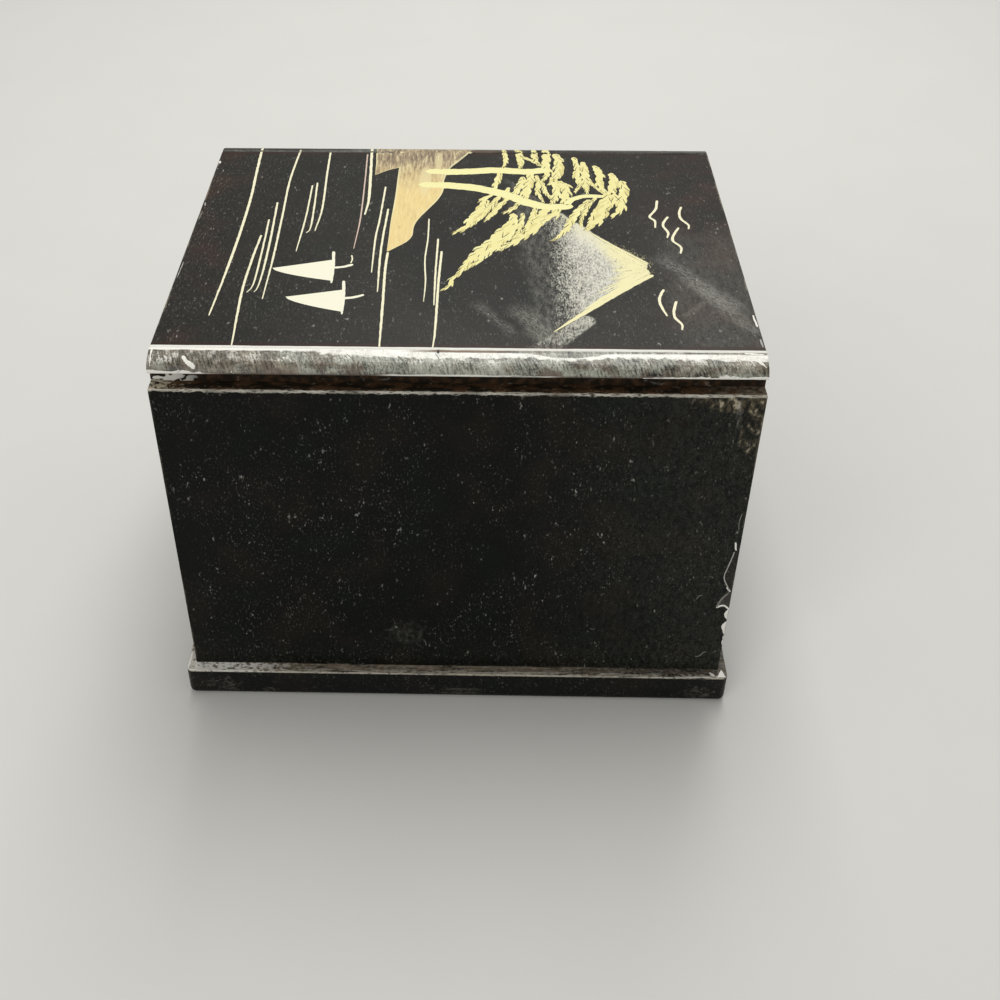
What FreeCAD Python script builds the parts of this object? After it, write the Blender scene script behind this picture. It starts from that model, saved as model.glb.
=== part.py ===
# Small two-drawer box of black lacquered boards on a base board that stands proud all round.
# Millimetres. X runs to the right as seen from the front, Y to the back and Z up. The origin is
# the middle of the base board's underside, and the drawers open towards -Y.

import FreeCAD, Part
import math
import os

import Sketcher
from FreeCAD import Vector


# Driving dimensions: name, size, what it is
SIZES = (
    ("case_width", 108.8, "across the outer faces of the two side boards"),
    ("case_depth", 127.0, "front edge to back edge of the side boards"),
    ("side_height", 80.5, "height of the side boards, between base and top"),
    ("side_thickness", 6.0, "side board"),
    ("back_thickness", 5.0, "back board"),
    ("divider_thickness", 4.0, "shelf between the drawers"),
    ("divider_housing", 1.5, "how far the shelf is let into each side board"),
    ("top_thickness", 6.1, "top board"),
    ("flat_inset", 7.0, "outer face of a side board to the edge of the flat top"),
    ("neck_inset", 3.5, "outer face of a side board to the recess under the moulding"),
    ("crown_radius", 9.0, "gentle curve of the moulding beside the flat top"),
    ("crown_width", 3.8, "how far out that gentle curve goes"),
    ("nose_radius", 3.6, "tight curve of the moulding's outer side"),
    ("roll_drop", 3.2, "flat top down to the moulding's lower lip"),
    ("joint_round", 0.5, "rounded arrises where the moulding meets the flat top"),
    ("lip_round", 0.4, "rounded lower lip of the moulding"),
    ("base_thickness", 8.1, "base board"),
    ("base_overhang_side", 2.9, "base board proud of each side board"),
    ("base_overhang_end", 2.1, "base board proud of the front and of the back"),
    ("base_round", 1.5, "upright corners and lower edges of the base board"),
    ("base_arris", 0.4, "upper edges of the base board"),
    ("brad_radius", 0.6, "shank of a wire brad"),
    ("brad_length", 16.0, "brad, under its head"),
    ("brad_head_radius", 1.2, "head of a brad"),
    ("brad_head_height", 0.8, "thickness of a brad's head"),
    ("brad_sink", 0.3, "brad's head below the base board's underside"),
    ("brad_inset", 14.0, "end brads from the front and back edges of the sides"),
    ("brad_spread", 60.0, "between the two brads in the back board"),
    ("brad_ease", 0.05, "hole larger than the brad, on the radius"),
    ("brad_spare", 0.3, "hole deeper than the brad's point"),
    ("drawer_side_gap", 0.4, "between a drawer and the side board beside it"),
    ("drawer_rise", 0.3, "under a drawer"),
    ("drawer_top_gap", 0.7, "over a drawer"),
    ("drawer_rear_gap", 0.5, "between a closed drawer and the back board"),
    ("front_thickness", 6.0, "drawer front"),
    ("rabbet_depth", 3.0, "how far the drawer sides reach into the drawer front"),
    ("wall_thickness", 4.0, "drawer sides and back"),
    ("rear_drop", 3.0, "drawer back below the rim of the drawer sides"),
    ("floor_thickness", 2.5, "drawer bottom"),
    ("floor_rise", 2.0, "lower edge of a drawer to its bottom board"),
    ("groove_depth", 1.5, "groove for the drawer bottom"),
    ("felt_thickness", 0.8, "lining on the drawer bottom"),
    ("felt_gap", 0.3, "lining clear of the drawer's walls"),
    ("plate_radius", 5.5, "round plate under a knob"),
    ("plate_thickness", 0.8, "the same, at its middle"),
    ("plate_rim", 0.3, "the same, at its edge"),
    ("knob_radius", 4.0, "widest part of a knob"),
    ("knob_dome", 2.0, "height of the knob's domed face"),
    ("knob_neck_radius", 1.9, "narrowest part of a knob"),
    ("knob_neck_length", 0.6, "straight part of the neck"),
    ("collar_radius", 2.8, "foot of a knob"),
    ("collar_height", 1.0, "straight part of the foot"),
    ("screw_radius", 1.0, "shank of the knob's screw"),
    ("screw_reach", 3.5, "how far the screw goes into the knob"),
    ("screw_point", 0.3, "chamfer on the screw's end"),
    ("screw_head_radius", 2.3, "head of the knob's screw"),
    ("screw_head_height", 1.4, "height of the screw's head"),
    ("screw_head_rim", 0.5, "straight edge of the screw's head"),
    ("slot_width", 0.6, "slot in the screw's head"),
    ("slot_depth", 0.6, "depth of that slot"),
    ("screw_ease", 0.15, "hole in front and plate larger than the screw, on the radius"),
    ("thread_ease", 0.05, "bore in the knob larger than the screw, on the radius"),
    ("bore_spare", 0.4, "bore in the knob deeper than the screw"),
)

# Places that follow from the driving dimensions
LAYOUT = (
    ("half_width", "case_width / 2"),
    ("half_depth", "case_depth / 2"),
    ("top_underside", "base_thickness + side_height"),
    ("top_face", "top_underside + top_thickness"),
    ("flat_half", "half_width - flat_inset"),
    ("neck_half", "half_width - neck_inset"),
    ("lip_level", "top_face - roll_drop"),
    ("crown_rise", "sqrt(crown_radius ^ 2 - crown_width ^ 2)"),
    ("crown_centre", "top_face - crown_radius"),
    ("crown_end", "crown_centre + crown_rise"),
    ("crown_edge", "flat_half + crown_width"),
    ("nose_share", "1 - nose_radius / crown_radius"),
    ("nose_half", "flat_half + nose_share * crown_width"),
    ("nose_centre", "crown_centre + nose_share * crown_rise"),
    ("lip_half", "nose_half + sqrt(nose_radius ^ 2 - (lip_level - nose_centre) ^ 2)"),
    ("bay_half", "half_width - side_thickness"),
    ("bay_depth", "case_depth - back_thickness"),
    ("bay_height", "(side_height - divider_thickness) / 2"),
    ("divider_underside", "base_thickness + bay_height"),
    ("divider_face", "divider_underside + divider_thickness"),
    ("drawer_half", "bay_half - drawer_side_gap"),
    ("inner_half", "drawer_half - wall_thickness"),
    ("drawer_length", "bay_depth - drawer_rear_gap"),
    ("drawer_height", "bay_height - drawer_rise - drawer_top_gap"),
    ("floor_face", "floor_rise + floor_thickness"),
    ("knob_level", "drawer_height / 2"),
    ("brad_head_top", "brad_sink + brad_head_height"),
    ("collar_end", "plate_thickness + collar_height"),
    ("neck_start", "collar_end + collar_radius - knob_neck_radius"),
    ("neck_end", "neck_start + knob_neck_length"),
    ("knob_rim", "neck_end + knob_radius - knob_neck_radius"),
    ("knob_end", "knob_rim + knob_dome"),
    ("knob_curve", "(knob_radius ^ 2 + knob_dome ^ 2) / (2 * knob_dome)"),
    ("bore_end", "plate_thickness + screw_reach + bore_spare"),
    ("screw_end", "plate_thickness + screw_reach"),
    ("screw_seat", "front_thickness"),
    ("screw_top", "screw_seat + screw_head_height"),
    ("screw_crown", "screw_head_height - screw_head_rim"),
    ("screw_curve", "(screw_head_radius ^ 2 + screw_crown ^ 2) / (2 * screw_crown)"),
)

SIDE_BRADS = 3
TOLERANCE = 1e-4

doc = FreeCAD.newDocument("two_drawer_box")
dim = doc.addObject("Spreadsheet::Sheet", "dim")
pieces = []


def fill_sheet():
    """Driving sizes as plain numbers, then the places that follow from them."""
    rows = [(alias, str(value), note) for alias, value, note in SIZES]
    rows += [(alias, "=" + formula, "") for alias, formula in LAYOUT]
    for row, (alias, content, note) in enumerate(rows, start=1):
        dim.set(f"A{row}", alias)
        dim.set(f"B{row}", content)
        dim.set(f"C{row}", note)
        dim.setAlias(f"B{row}", alias)
    doc.recompute()


def number(text):
    """Value of an expression at the present sizes."""
    return float(dim.evalExpression(text))


def new_body(name):
    """Empty body that becomes the piece of that name."""
    body = doc.addObject("PartDesign::Body", name)
    body.Label = name
    pieces.append(body)
    return body


def place(thing, **base):
    """Bind the piece's place: x, y and z as expressions."""
    for axis, text in base.items():
        thing.setExpression(f"Placement.Base.{axis}", text)


def new_sketch(body, role, level=None):
    """Sketch on one of the body's own origin planes, raised by level along its normal."""
    sketch = body.newObject("Sketcher::SketchObject", f"{body.Name}_sketch")
    plane = next(item for item in body.Origin.OriginFeatures if item.Role == role)
    sketch.AttachmentSupport = [(plane, "")]
    sketch.MapMode = "FlatFace"
    if level:
        sketch.setExpression("AttachmentOffset.Base.z", level)
    return sketch


def pin_point(sketch, geometry, vertex, name, place_x, place_y):
    """Hold a vertex of the sketch at two bound distances from the sketch's origin."""
    for kind, letter, text in (("DistanceX", "x", place_x), ("DistanceY", "y", place_y)):
        constraint = Sketcher.Constraint(kind, -1, 1, geometry, vertex, number(text))
        index = sketch.addConstraint(constraint)
        sketch.renameConstraint(index, f"{name}_{letter}")
        sketch.setExpression(f"Constraints.{name}_{letter}", text)


def arc_about(centre, start, end):
    """Shorter arc about centre, and which of its ends is the start and which the end."""
    circle = Part.Circle(centre, Vector(0, 0, 1), start.distanceToPoint(centre))
    start_angle = circle.parameter(start)
    end_angle = circle.parameter(end)
    turn = (end_angle - start_angle) % math.tau
    if turn < math.pi:
        return Part.ArcOfCircle(circle, start_angle, end_angle), (1, 2)
    return Part.ArcOfCircle(circle, end_angle, start_angle), (2, 1)


def outline(sketch, corners, arcs=None):
    """Closed outline through corners; arcs gives the (x, y) centre of a stretch that is round.

    Corner and centre places are expressions. A stretch has the number of the corner it starts at.
    """
    arcs = arcs or {}
    points = [Vector(number(x), number(y), 0) for x, y in corners]
    ends = []
    for index, start in enumerate(points):
        end = points[(index + 1) % len(points)]
        if index in arcs:
            centre = Vector(*(number(text) for text in arcs[index]), 0)
            curve, vertices = arc_about(centre, start, end)
        else:
            curve, vertices = Part.LineSegment(start, end), (1, 2)
        sketch.addGeometry(curve, False)
        ends.append(vertices)
    for index, vertices in enumerate(ends):
        following = (index + 1) % len(points)
        joint = Sketcher.Constraint("Coincident", index, vertices[1], following, ends[following][0])
        sketch.addConstraint(joint)
    for index, (x, y) in enumerate(corners):
        pin_point(sketch, index, ends[index][0], f"corner{index}", x, y)
    for index, (centre_x, centre_y) in arcs.items():
        x, y = corners[index]
        radius = f"sqrt(({x} - ({centre_x})) ^ 2 + ({y} - ({centre_y})) ^ 2)"
        constraint = sketch.addConstraint(Sketcher.Constraint("Radius", index, number(radius)))
        sketch.renameConstraint(constraint, f"radius{index}")
        sketch.setExpression(f"Constraints.radius{index}", radius)


def rectangle(sketch, x_low, x_high, y_low, y_high):
    outline(sketch, [(x_low, y_low), (x_high, y_low), (x_high, y_high), (x_low, y_high)])


def circles(sketch, centres, radius):
    """Equal circles about centres."""
    for index, (x, y) in enumerate(centres):
        middle = Vector(number(x), number(y), 0)
        sketch.addGeometry(Part.Circle(middle, Vector(0, 0, 1), number(radius)), False)
        pin_point(sketch, index, 3, f"centre{index}", x, y)
        constraint = sketch.addConstraint(Sketcher.Constraint("Radius", index, number(radius)))
        sketch.renameConstraint(constraint, f"radius{index}")
        sketch.setExpression(f"Constraints.radius{index}", radius)


def pad(body, sketch, length, symmetric=False, reverse=False):
    """Solid of a sketch: both ways from it, or one way along or against its normal."""
    feature = body.newObject("PartDesign::Pad", f"{body.Name}_pad")
    feature.Profile = sketch
    feature.setExpression("Length", length)
    feature.SideType = "Symmetric" if symmetric else "One side"
    feature.Reversed = reverse
    return feature


def pocket(body, sketch, length, symmetric=False, reverse=False):
    """Cut of a sketch into the body: both ways from it, or against or along its normal.

    A cut that takes nothing away is a fault.
    """
    doc.recompute()
    before = body.Shape.Volume
    feature = body.newObject("PartDesign::Pocket", f"{body.Name}_pocket")
    feature.Profile = sketch
    feature.setExpression("Length", length)
    feature.SideType = "Symmetric" if symmetric else "One side"
    feature.Reversed = reverse
    doc.recompute()
    if body.Shape.Volume > before - TOLERANCE:
        raise RuntimeError(f"the cut in {body.Label} takes nothing away")


def revolve(body, sketch):
    """Full turn about the sketch's upright axis."""
    feature = body.newObject("PartDesign::Revolution", f"{body.Name}_turn")
    feature.Profile = sketch
    feature.ReferenceAxis = (sketch, ["V_Axis"])
    feature.Angle = 360.0


def round_edges(body, radius, wanted):
    """Round every edge of the body, as it stands, whose ends and middle satisfy wanted."""
    doc.recompute()
    base = body.Tip
    names = []
    for index, edge in enumerate(base.Shape.Edges, start=1):
        middle = edge.valueAt((edge.FirstParameter + edge.LastParameter) / 2)
        if all(wanted(point) for point in [middle] + [vertex.Point for vertex in edge.Vertexes]):
            names.append(f"Edge{index}")
    feature = body.newObject("PartDesign::Fillet", f"{body.Name}_round")
    feature.Base = (base, names)
    feature.setExpression("Radius", radius)


def near(value, target):
    return abs(value - number(target)) < TOLERANCE


def top_board():
    """Top board; a rebate along each side takes the moulding, and the neck stays under it."""
    body = new_body("top_board")
    sketch = new_sketch(body, "XZ_Plane")
    right = [
        ("dim.neck_half", "dim.top_underside"),
        ("dim.neck_half", "dim.lip_level"),
        ("dim.flat_half", "dim.lip_level"),
        ("dim.flat_half", "dim.top_face"),
    ]
    left = [(f"-{x}", y) for x, y in reversed(right)]
    outline(sketch, right + left)
    pad(body, sketch, "dim.case_depth", symmetric=True)
    round_edges(body, "dim.joint_round",
                lambda point: near(abs(point.x), "dim.flat_half") and near(point.z, "dim.top_face"))


def roll(name, side):
    """Rounded moulding in the rebate of the top board: a gentle crown that runs into a tight nose."""
    body = new_body(name)
    sketch = new_sketch(body, "XZ_Plane")
    sign = "" if side > 0 else "-"
    corners = [
        (f"{sign}dim.flat_half", "dim.lip_level"),
        (f"{sign}dim.lip_half", "dim.lip_level"),
        (f"{sign}dim.crown_edge", "dim.crown_end"),
        (f"{sign}dim.flat_half", "dim.top_face"),
    ]
    arcs = {
        1: (f"{sign}dim.nose_half", "dim.nose_centre"),
        2: (f"{sign}dim.flat_half", "dim.crown_centre"),
    }
    outline(sketch, corners, arcs)
    pad(body, sketch, "dim.case_depth", symmetric=True)
    round_edges(body, "dim.joint_round",
                lambda point: near(abs(point.x), "dim.flat_half") and near(point.z, "dim.top_face"))
    round_edges(body, "dim.lip_round",
                lambda point: near(abs(point.x), "dim.lip_half"))


def brad_rows():
    """Places of the brads: along both side boards, then across the back board."""
    side_row = "(dim.half_width - dim.side_thickness / 2)"
    back_row = "dim.half_depth - dim.back_thickness / 2"
    reach = "(dim.half_depth - dim.brad_inset)"
    along = [f"{reach} * {2 * step / (SIDE_BRADS - 1) - 1}" for step in range(SIDE_BRADS)]
    return {
        "side_left": [(f"-{side_row}", y) for y in along],
        "side_right": [(side_row, y) for y in along],
        "back_panel": [(f"{sign}dim.brad_spread / 2", back_row) for sign in ("-", "")],
    }


def brad_pilots(body):
    """Holes up into the lower edge of a board that stands on the base board."""
    sketch = new_sketch(body, "XY_Plane", level="dim.base_thickness")
    circles(sketch, brad_rows()[body.Label], "dim.brad_radius + dim.brad_ease")
    depth = "dim.brad_head_top + dim.brad_length - dim.base_thickness + dim.brad_spare"
    pocket(body, sketch, depth, reverse=True)


def side_board(name, side):
    """Side board with the housing for the divider."""
    body = new_body(name)
    sketch = new_sketch(body, "XZ_Plane")
    sign = "" if side > 0 else "-"
    inner = f"{sign}dim.bay_half"
    outer = f"{sign}dim.half_width"
    housed = f"{sign}(dim.bay_half + dim.divider_housing)"
    outline(sketch, [
        (outer, "dim.base_thickness"),
        (outer, "dim.top_underside"),
        (inner, "dim.top_underside"),
        (inner, "dim.divider_face"),
        (housed, "dim.divider_face"),
        (housed, "dim.divider_underside"),
        (inner, "dim.divider_underside"),
        (inner, "dim.base_thickness"),
    ])
    pad(body, sketch, "dim.case_depth", symmetric=True)
    brad_pilots(body)


def back_panel():
    """Back board between the side boards."""
    body = new_body("back_panel")
    sketch = new_sketch(body, "XY_Plane", level="dim.base_thickness")
    rectangle(sketch, "-dim.bay_half", "dim.bay_half",
              "dim.half_depth - dim.back_thickness", "dim.half_depth")
    pad(body, sketch, "dim.side_height")
    brad_pilots(body)


def divider():
    """Shelf between the drawers, let into both side boards."""
    body = new_body("divider")
    sketch = new_sketch(body, "XY_Plane", level="dim.divider_underside")
    reach = "dim.bay_half + dim.divider_housing"
    rectangle(sketch, f"-({reach})", reach, "-dim.half_depth", "dim.half_depth - dim.back_thickness")
    pad(body, sketch, "dim.divider_thickness")


def base_board():
    """Base board with rounded corners and lower edges, drilled for the brads."""
    body = new_body("base_board")
    sketch = new_sketch(body, "XY_Plane")
    wide = "dim.half_width + dim.base_overhang_side"
    long = "dim.half_depth + dim.base_overhang_end"
    rectangle(sketch, f"-({wide})", wide, f"-({long})", long)
    pad(body, sketch, "dim.base_thickness")
    round_edges(body, "dim.base_round",
                lambda point: not near(point.z, "dim.base_thickness")
                or (near(abs(point.x), wide) and near(abs(point.y), long)))
    round_edges(body, "dim.base_arris", lambda point: near(point.z, "dim.base_thickness"))
    places = [place_xy for row in brad_rows().values() for place_xy in row]
    shanks = new_sketch(body, "XY_Plane")
    circles(shanks, places, "dim.brad_radius + dim.brad_ease")
    pocket(body, shanks, "dim.base_thickness", reverse=True)
    heads = new_sketch(body, "XY_Plane")
    circles(heads, places, "dim.brad_head_radius + dim.brad_ease")
    pocket(body, heads, "dim.brad_head_top", reverse=True)


def base_brads():
    """Wire brads, driven up from the underside; their heads are sunk just below it."""
    brads = []
    for row in brad_rows().values():
        for x, y in row:
            brads.append(one_brad(f"brad_{len(brads)}", x, y))
    group = doc.addObject("Part::Compound", "base_brads")
    group.Label = "base_brads"
    group.Links = brads
    pieces.append(group)


def one_brad(name, x, y):
    head = doc.addObject("Part::Cylinder", f"{name}_head")
    head.setExpression("Radius", "dim.brad_head_radius")
    head.setExpression("Height", "dim.brad_head_height")
    place(head, x=x, y=y, z="dim.brad_sink")
    shank = doc.addObject("Part::Cylinder", f"{name}_shank")
    shank.setExpression("Radius", "dim.brad_radius")
    shank.setExpression("Height", "dim.brad_length")
    place(shank, x=x, y=y, z="dim.brad_head_top")
    brad = doc.addObject("Part::Fuse", name)
    brad.Base = head
    brad.Tool = shank
    return brad


def seat(body, bay, offset="0"):
    """Put a drawer's piece, modelled from the drawer's lower front edge, into its bay."""
    place(body, y=f"-dim.half_depth + {offset}", z=f"{bay} + dim.drawer_rise")


def drawer_front(name, bay):
    """Front board: rabbets at both ends for the sides, a groove for the bottom, a screw hole."""
    body = new_body(name)
    plan = new_sketch(body, "XY_Plane")
    shoulder = "dim.front_thickness - dim.rabbet_depth"
    right = [
        ("dim.drawer_half", "0"),
        ("dim.drawer_half", shoulder),
        ("dim.inner_half", shoulder),
        ("dim.inner_half", "dim.front_thickness"),
    ]
    left = [(f"-{x}", y) for x, y in reversed(right)]
    outline(plan, right + left)
    pad(body, plan, "dim.drawer_height")
    groove = new_sketch(body, "YZ_Plane")
    rectangle(groove, "dim.front_thickness - dim.groove_depth",
              "dim.front_thickness + dim.groove_depth", "dim.floor_rise", "dim.floor_face")
    pocket(body, groove, "2 * dim.inner_half", symmetric=True)
    hole = new_sketch(body, "XZ_Plane")
    circles(hole, [("0", "dim.knob_level")], "dim.screw_radius + dim.screw_ease")
    pocket(body, hole, "2 * dim.front_thickness", symmetric=True)
    seat(body, bay)


def drawer_side(name, bay, side):
    """Side board of a drawer, grooved for the bottom."""
    body = new_body(name)
    sketch = new_sketch(body, "XZ_Plane")
    sign = "" if side > 0 else "-"
    outer = f"{sign}dim.drawer_half"
    inner = f"{sign}dim.inner_half"
    grooved = f"{sign}(dim.inner_half + dim.groove_depth)"
    outline(sketch, [
        (outer, "0"),
        (outer, "dim.drawer_height"),
        (inner, "dim.drawer_height"),
        (inner, "dim.floor_face"),
        (grooved, "dim.floor_face"),
        (grooved, "dim.floor_rise"),
        (inner, "dim.floor_rise"),
        (inner, "0"),
    ])
    start = "dim.front_thickness - dim.rabbet_depth"
    pad(body, sketch, f"dim.drawer_length - ({start})", reverse=True)
    seat(body, bay, start)


def drawer_back(name, bay):
    """Back board of a drawer, standing on the bottom board."""
    body = new_body(name)
    sketch = new_sketch(body, "XY_Plane", level="dim.floor_face")
    rectangle(sketch, "-dim.inner_half", "dim.inner_half",
              "dim.drawer_length - dim.wall_thickness", "dim.drawer_length")
    pad(body, sketch, "dim.drawer_height - dim.rear_drop - dim.floor_face")
    seat(body, bay)


def drawer_bottom(name, bay):
    """Bottom board, in the grooves of the front and the sides, under the back."""
    body = new_body(name)
    sketch = new_sketch(body, "XY_Plane", level="dim.floor_rise")
    reach = "dim.inner_half + dim.groove_depth"
    rectangle(sketch, f"-({reach})", reach,
              "dim.front_thickness - dim.groove_depth", "dim.drawer_length")
    pad(body, sketch, "dim.floor_thickness")
    seat(body, bay)


def drawer_lining(name, bay):
    """Felt laid on the drawer's bottom."""
    body = new_body(name)
    sketch = new_sketch(body, "XY_Plane", level="dim.floor_face")
    reach = "dim.inner_half - dim.felt_gap"
    rectangle(sketch, f"-({reach})", reach, "dim.front_thickness + dim.felt_gap",
              "dim.drawer_length - dim.wall_thickness - dim.felt_gap")
    pad(body, sketch, "dim.felt_thickness")
    seat(body, bay)


def knob_plate(name, bay):
    """Round plate with a bevelled rim between the drawer front and the knob."""
    body = new_body(name)
    sketch = new_sketch(body, "XY_Plane")
    hole = "dim.screw_radius + dim.screw_ease"
    outline(sketch, [
        (hole, "0"),
        ("dim.plate_radius", "0"),
        ("dim.plate_radius", "-dim.plate_rim"),
        ("dim.plate_radius - (dim.plate_thickness - dim.plate_rim)", "-dim.plate_thickness"),
        (hole, "-dim.plate_thickness"),
    ])
    revolve(body, sketch)
    place(body, y="-dim.half_depth", z=f"{bay} + dim.drawer_rise + dim.knob_level")


def knob(name, bay):
    """Turned knob: foot, waisted neck and domed head, bored for the screw."""
    body = new_body(name)
    sketch = new_sketch(body, "XY_Plane")
    bore = "dim.screw_radius + dim.thread_ease"
    corners = [
        (bore, "-dim.plate_thickness"),
        ("dim.collar_radius", "-dim.plate_thickness"),
        ("dim.collar_radius", "-dim.collar_end"),
        ("dim.knob_neck_radius", "-dim.neck_start"),
        ("dim.knob_neck_radius", "-dim.neck_end"),
        ("dim.knob_radius", "-dim.knob_rim"),
        ("0", "-dim.knob_end"),
        ("0", "-dim.bore_end"),
        (bore, "-dim.bore_end"),
    ]
    arcs = {
        2: ("dim.collar_radius", "-dim.neck_start"),
        4: ("dim.knob_neck_radius", "-dim.knob_rim"),
        5: ("0", "-(dim.knob_end - dim.knob_curve)"),
    }
    outline(sketch, corners, arcs)
    revolve(body, sketch)
    place(body, y="-dim.half_depth", z=f"{bay} + dim.drawer_rise + dim.knob_level")


def knob_screw(name, bay):
    """Screw from inside the drawer into the knob, with a slotted domed head."""
    body = new_body(name)
    sketch = new_sketch(body, "XY_Plane")
    corners = [
        ("0", "-dim.screw_end"),
        ("dim.screw_radius - dim.screw_point", "-dim.screw_end"),
        ("dim.screw_radius", "-(dim.screw_end - dim.screw_point)"),
        ("dim.screw_radius", "dim.screw_seat"),
        ("dim.screw_head_radius", "dim.screw_seat"),
        ("dim.screw_head_radius", "dim.screw_seat + dim.screw_head_rim"),
        ("0", "dim.screw_top"),
    ]
    outline(sketch, corners, {5: ("0", "dim.screw_top - dim.screw_curve")})
    revolve(body, sketch)
    slot = new_sketch(body, "YZ_Plane")
    rectangle(slot, "dim.screw_top - dim.slot_depth", "dim.screw_top + dim.slot_depth",
              "-dim.slot_width / 2", "dim.slot_width / 2")
    head_width = "2 * dim.screw_head_radius"
    pocket(body, slot, f"2 * {head_width}", symmetric=True)
    place(body, y="-dim.half_depth", z=f"{bay} + dim.drawer_rise + dim.knob_level")


def case():
    top_board()
    base_board()
    back_panel()
    divider()
    for name, side in (("left", -1), ("right", 1)):
        roll(f"roll_{name}", side)
        side_board(f"side_{name}", side)
    base_brads()


def drawer(prefix, bay):
    """The nine pieces of one drawer; bay is the level that it runs on."""
    drawer_front(f"{prefix}_drawer_front", bay)
    for name, side in (("left", -1), ("right", 1)):
        drawer_side(f"{prefix}_drawer_side_{name}", bay, side)
    drawer_back(f"{prefix}_drawer_back", bay)
    drawer_bottom(f"{prefix}_drawer_bottom", bay)
    drawer_lining(f"{prefix}_drawer_lining", bay)
    knob_plate(f"{prefix}_knob_plate", bay)
    knob(f"{prefix}_knob", bay)
    knob_screw(f"{prefix}_knob_screw", bay)


def check_model():
    """Stop if any object failed to compute or any piece isn't a sound solid."""
    for item in doc.Objects:
        if "Invalid" in item.State or "Error" in item.State:
            raise RuntimeError(f"{item.Label} did not compute: {item.State}")
    for piece in pieces:
        shape = piece.Shape
        if shape.isNull() or not shape.isValid() or not shape.Solids:
            raise RuntimeError(f"{piece.Label} has no sound solid")


def write_pieces():
    os.makedirs("parts", exist_ok=True)
    for piece in pieces:
        piece.Shape.exportStep(os.path.join("parts", f"{piece.Label}.step"))
        box = piece.Shape.BoundBox
        print(f"{piece.Label}: {len(piece.Shape.Solids)} solids, {piece.Shape.Volume:.1f} mm3,",
              f"x {box.XMin:.2f}..{box.XMax:.2f} y {box.YMin:.2f}..{box.YMax:.2f}",
              f"z {box.ZMin:.2f}..{box.ZMax:.2f}")


fill_sheet()
case()
drawer("lower", "dim.base_thickness")
drawer("upper", "dim.divider_face")
doc.recompute()
check_model()
write_pieces()
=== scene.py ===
# Small black lacquered box with two drawers: every surface's finish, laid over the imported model.
# The frame is the model's own: X to the right as seen from the drawers' side, Y to the back, Z up.
# Places, lengths and noise sizes are millimetres, unless a name ends in _m for metres.
import math
import random

import bpy
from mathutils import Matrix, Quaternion, Vector, noise
from mathutils.bvhtree import BVHTree


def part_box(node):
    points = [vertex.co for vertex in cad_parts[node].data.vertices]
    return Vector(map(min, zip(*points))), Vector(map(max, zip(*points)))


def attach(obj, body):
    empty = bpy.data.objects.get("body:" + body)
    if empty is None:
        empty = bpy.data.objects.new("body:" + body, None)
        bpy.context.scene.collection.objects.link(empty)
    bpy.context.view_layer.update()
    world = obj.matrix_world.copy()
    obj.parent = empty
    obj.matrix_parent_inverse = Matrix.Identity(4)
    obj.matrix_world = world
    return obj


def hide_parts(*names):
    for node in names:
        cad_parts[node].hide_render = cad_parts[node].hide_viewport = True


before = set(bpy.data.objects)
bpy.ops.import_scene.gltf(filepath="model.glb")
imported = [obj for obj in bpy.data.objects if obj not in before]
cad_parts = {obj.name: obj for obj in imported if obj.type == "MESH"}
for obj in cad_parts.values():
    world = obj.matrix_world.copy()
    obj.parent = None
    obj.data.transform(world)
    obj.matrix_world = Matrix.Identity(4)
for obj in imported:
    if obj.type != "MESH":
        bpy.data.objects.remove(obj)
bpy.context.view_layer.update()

MM = 0.001
DOWN = Vector((0, 0, -1))
DRAWERS = ("lower", "upper")


def extent(node):
    """Lowest and highest corner of a CAD node."""
    return tuple(Vector(corner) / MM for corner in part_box(node))


TOP_HIGH = extent("top_board")[1]
ROLL_LOW, ROLL_HIGH = extent("roll_right")
SIDE_LOW, SIDE_HIGH = extent("side_right")
BASE_LOW, BASE_HIGH = extent("base_board")
FLAT_EDGE = ROLL_LOW.x
NECK_FACE = TOP_HIGH.x
LIP = ROLL_LOW.z
SHOULDER = SIDE_HIGH.z
LEDGE = BASE_HIGH.z
BACK_END = SIDE_HIGH.y
FRONT_END = SIDE_LOW.y

# Linear colours
BLACK = (0.0034, 0.0037, 0.0033)
BROWN_BLACK = (0.0088, 0.0068, 0.0050)
RED_BROWN = (0.0300, 0.0100, 0.0065)
# Sooty black of cracks and specks; also painted shade
SOOT_AND_SHADE = (0.0020, 0.0018, 0.0016)
GREEN_BLACK = (0.0034, 0.0052, 0.0038)
GREEN_DUST = (0.150, 0.158, 0.130)
RECESS_DARK = (0.0160, 0.0120, 0.0080)
RECESS_BROWN = (0.0750, 0.0400, 0.0200)
DUST = (0.205, 0.198, 0.172)
LINT = (0.420, 0.415, 0.390)
CREAM = (0.560, 0.500, 0.380)
# Pale ground where lacquer is chipped or worn; also the colour of painted highlights
GESSO_AND_HIGHLIGHT = (0.930, 0.920, 0.875)
BARE = (0.640, 0.610, 0.540)
LEDGE_TAN = (0.235, 0.190, 0.140)
SCUFF = (0.150, 0.118, 0.070)
BLOOM = (0.455, 0.465, 0.400)
GREY_BROWN = (0.280, 0.245, 0.190)
SILVER = (0.790, 0.775, 0.680)
SUNLIT = (0.840, 0.810, 0.620)
LINE_GOLD = (0.880, 0.820, 0.480)
PALE_GOLD = (0.920, 0.880, 0.640)
TRUNK_GOLD = (0.900, 0.860, 0.430)
LEAF_BRIGHT = (0.870, 0.800, 0.370)
LEAF_GOLD = (0.750, 0.670, 0.280)
LEAF_BROWN = (0.500, 0.430, 0.150)
SLIT = (0.045, 0.036, 0.016)
GRASS_GOLD = (0.820, 0.720, 0.400)
SAIL = (0.920, 0.905, 0.740)
ROSE_GOLD = (0.680, 0.520, 0.440)
WASH_GOLD = (0.840, 0.650, 0.280)
WASH_TAN = (0.460, 0.350, 0.215)
WASH_BROWN = (0.130, 0.092, 0.058)
MAROON = (0.085, 0.050, 0.038)
RUST_BROWN = (0.140, 0.070, 0.034)
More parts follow.
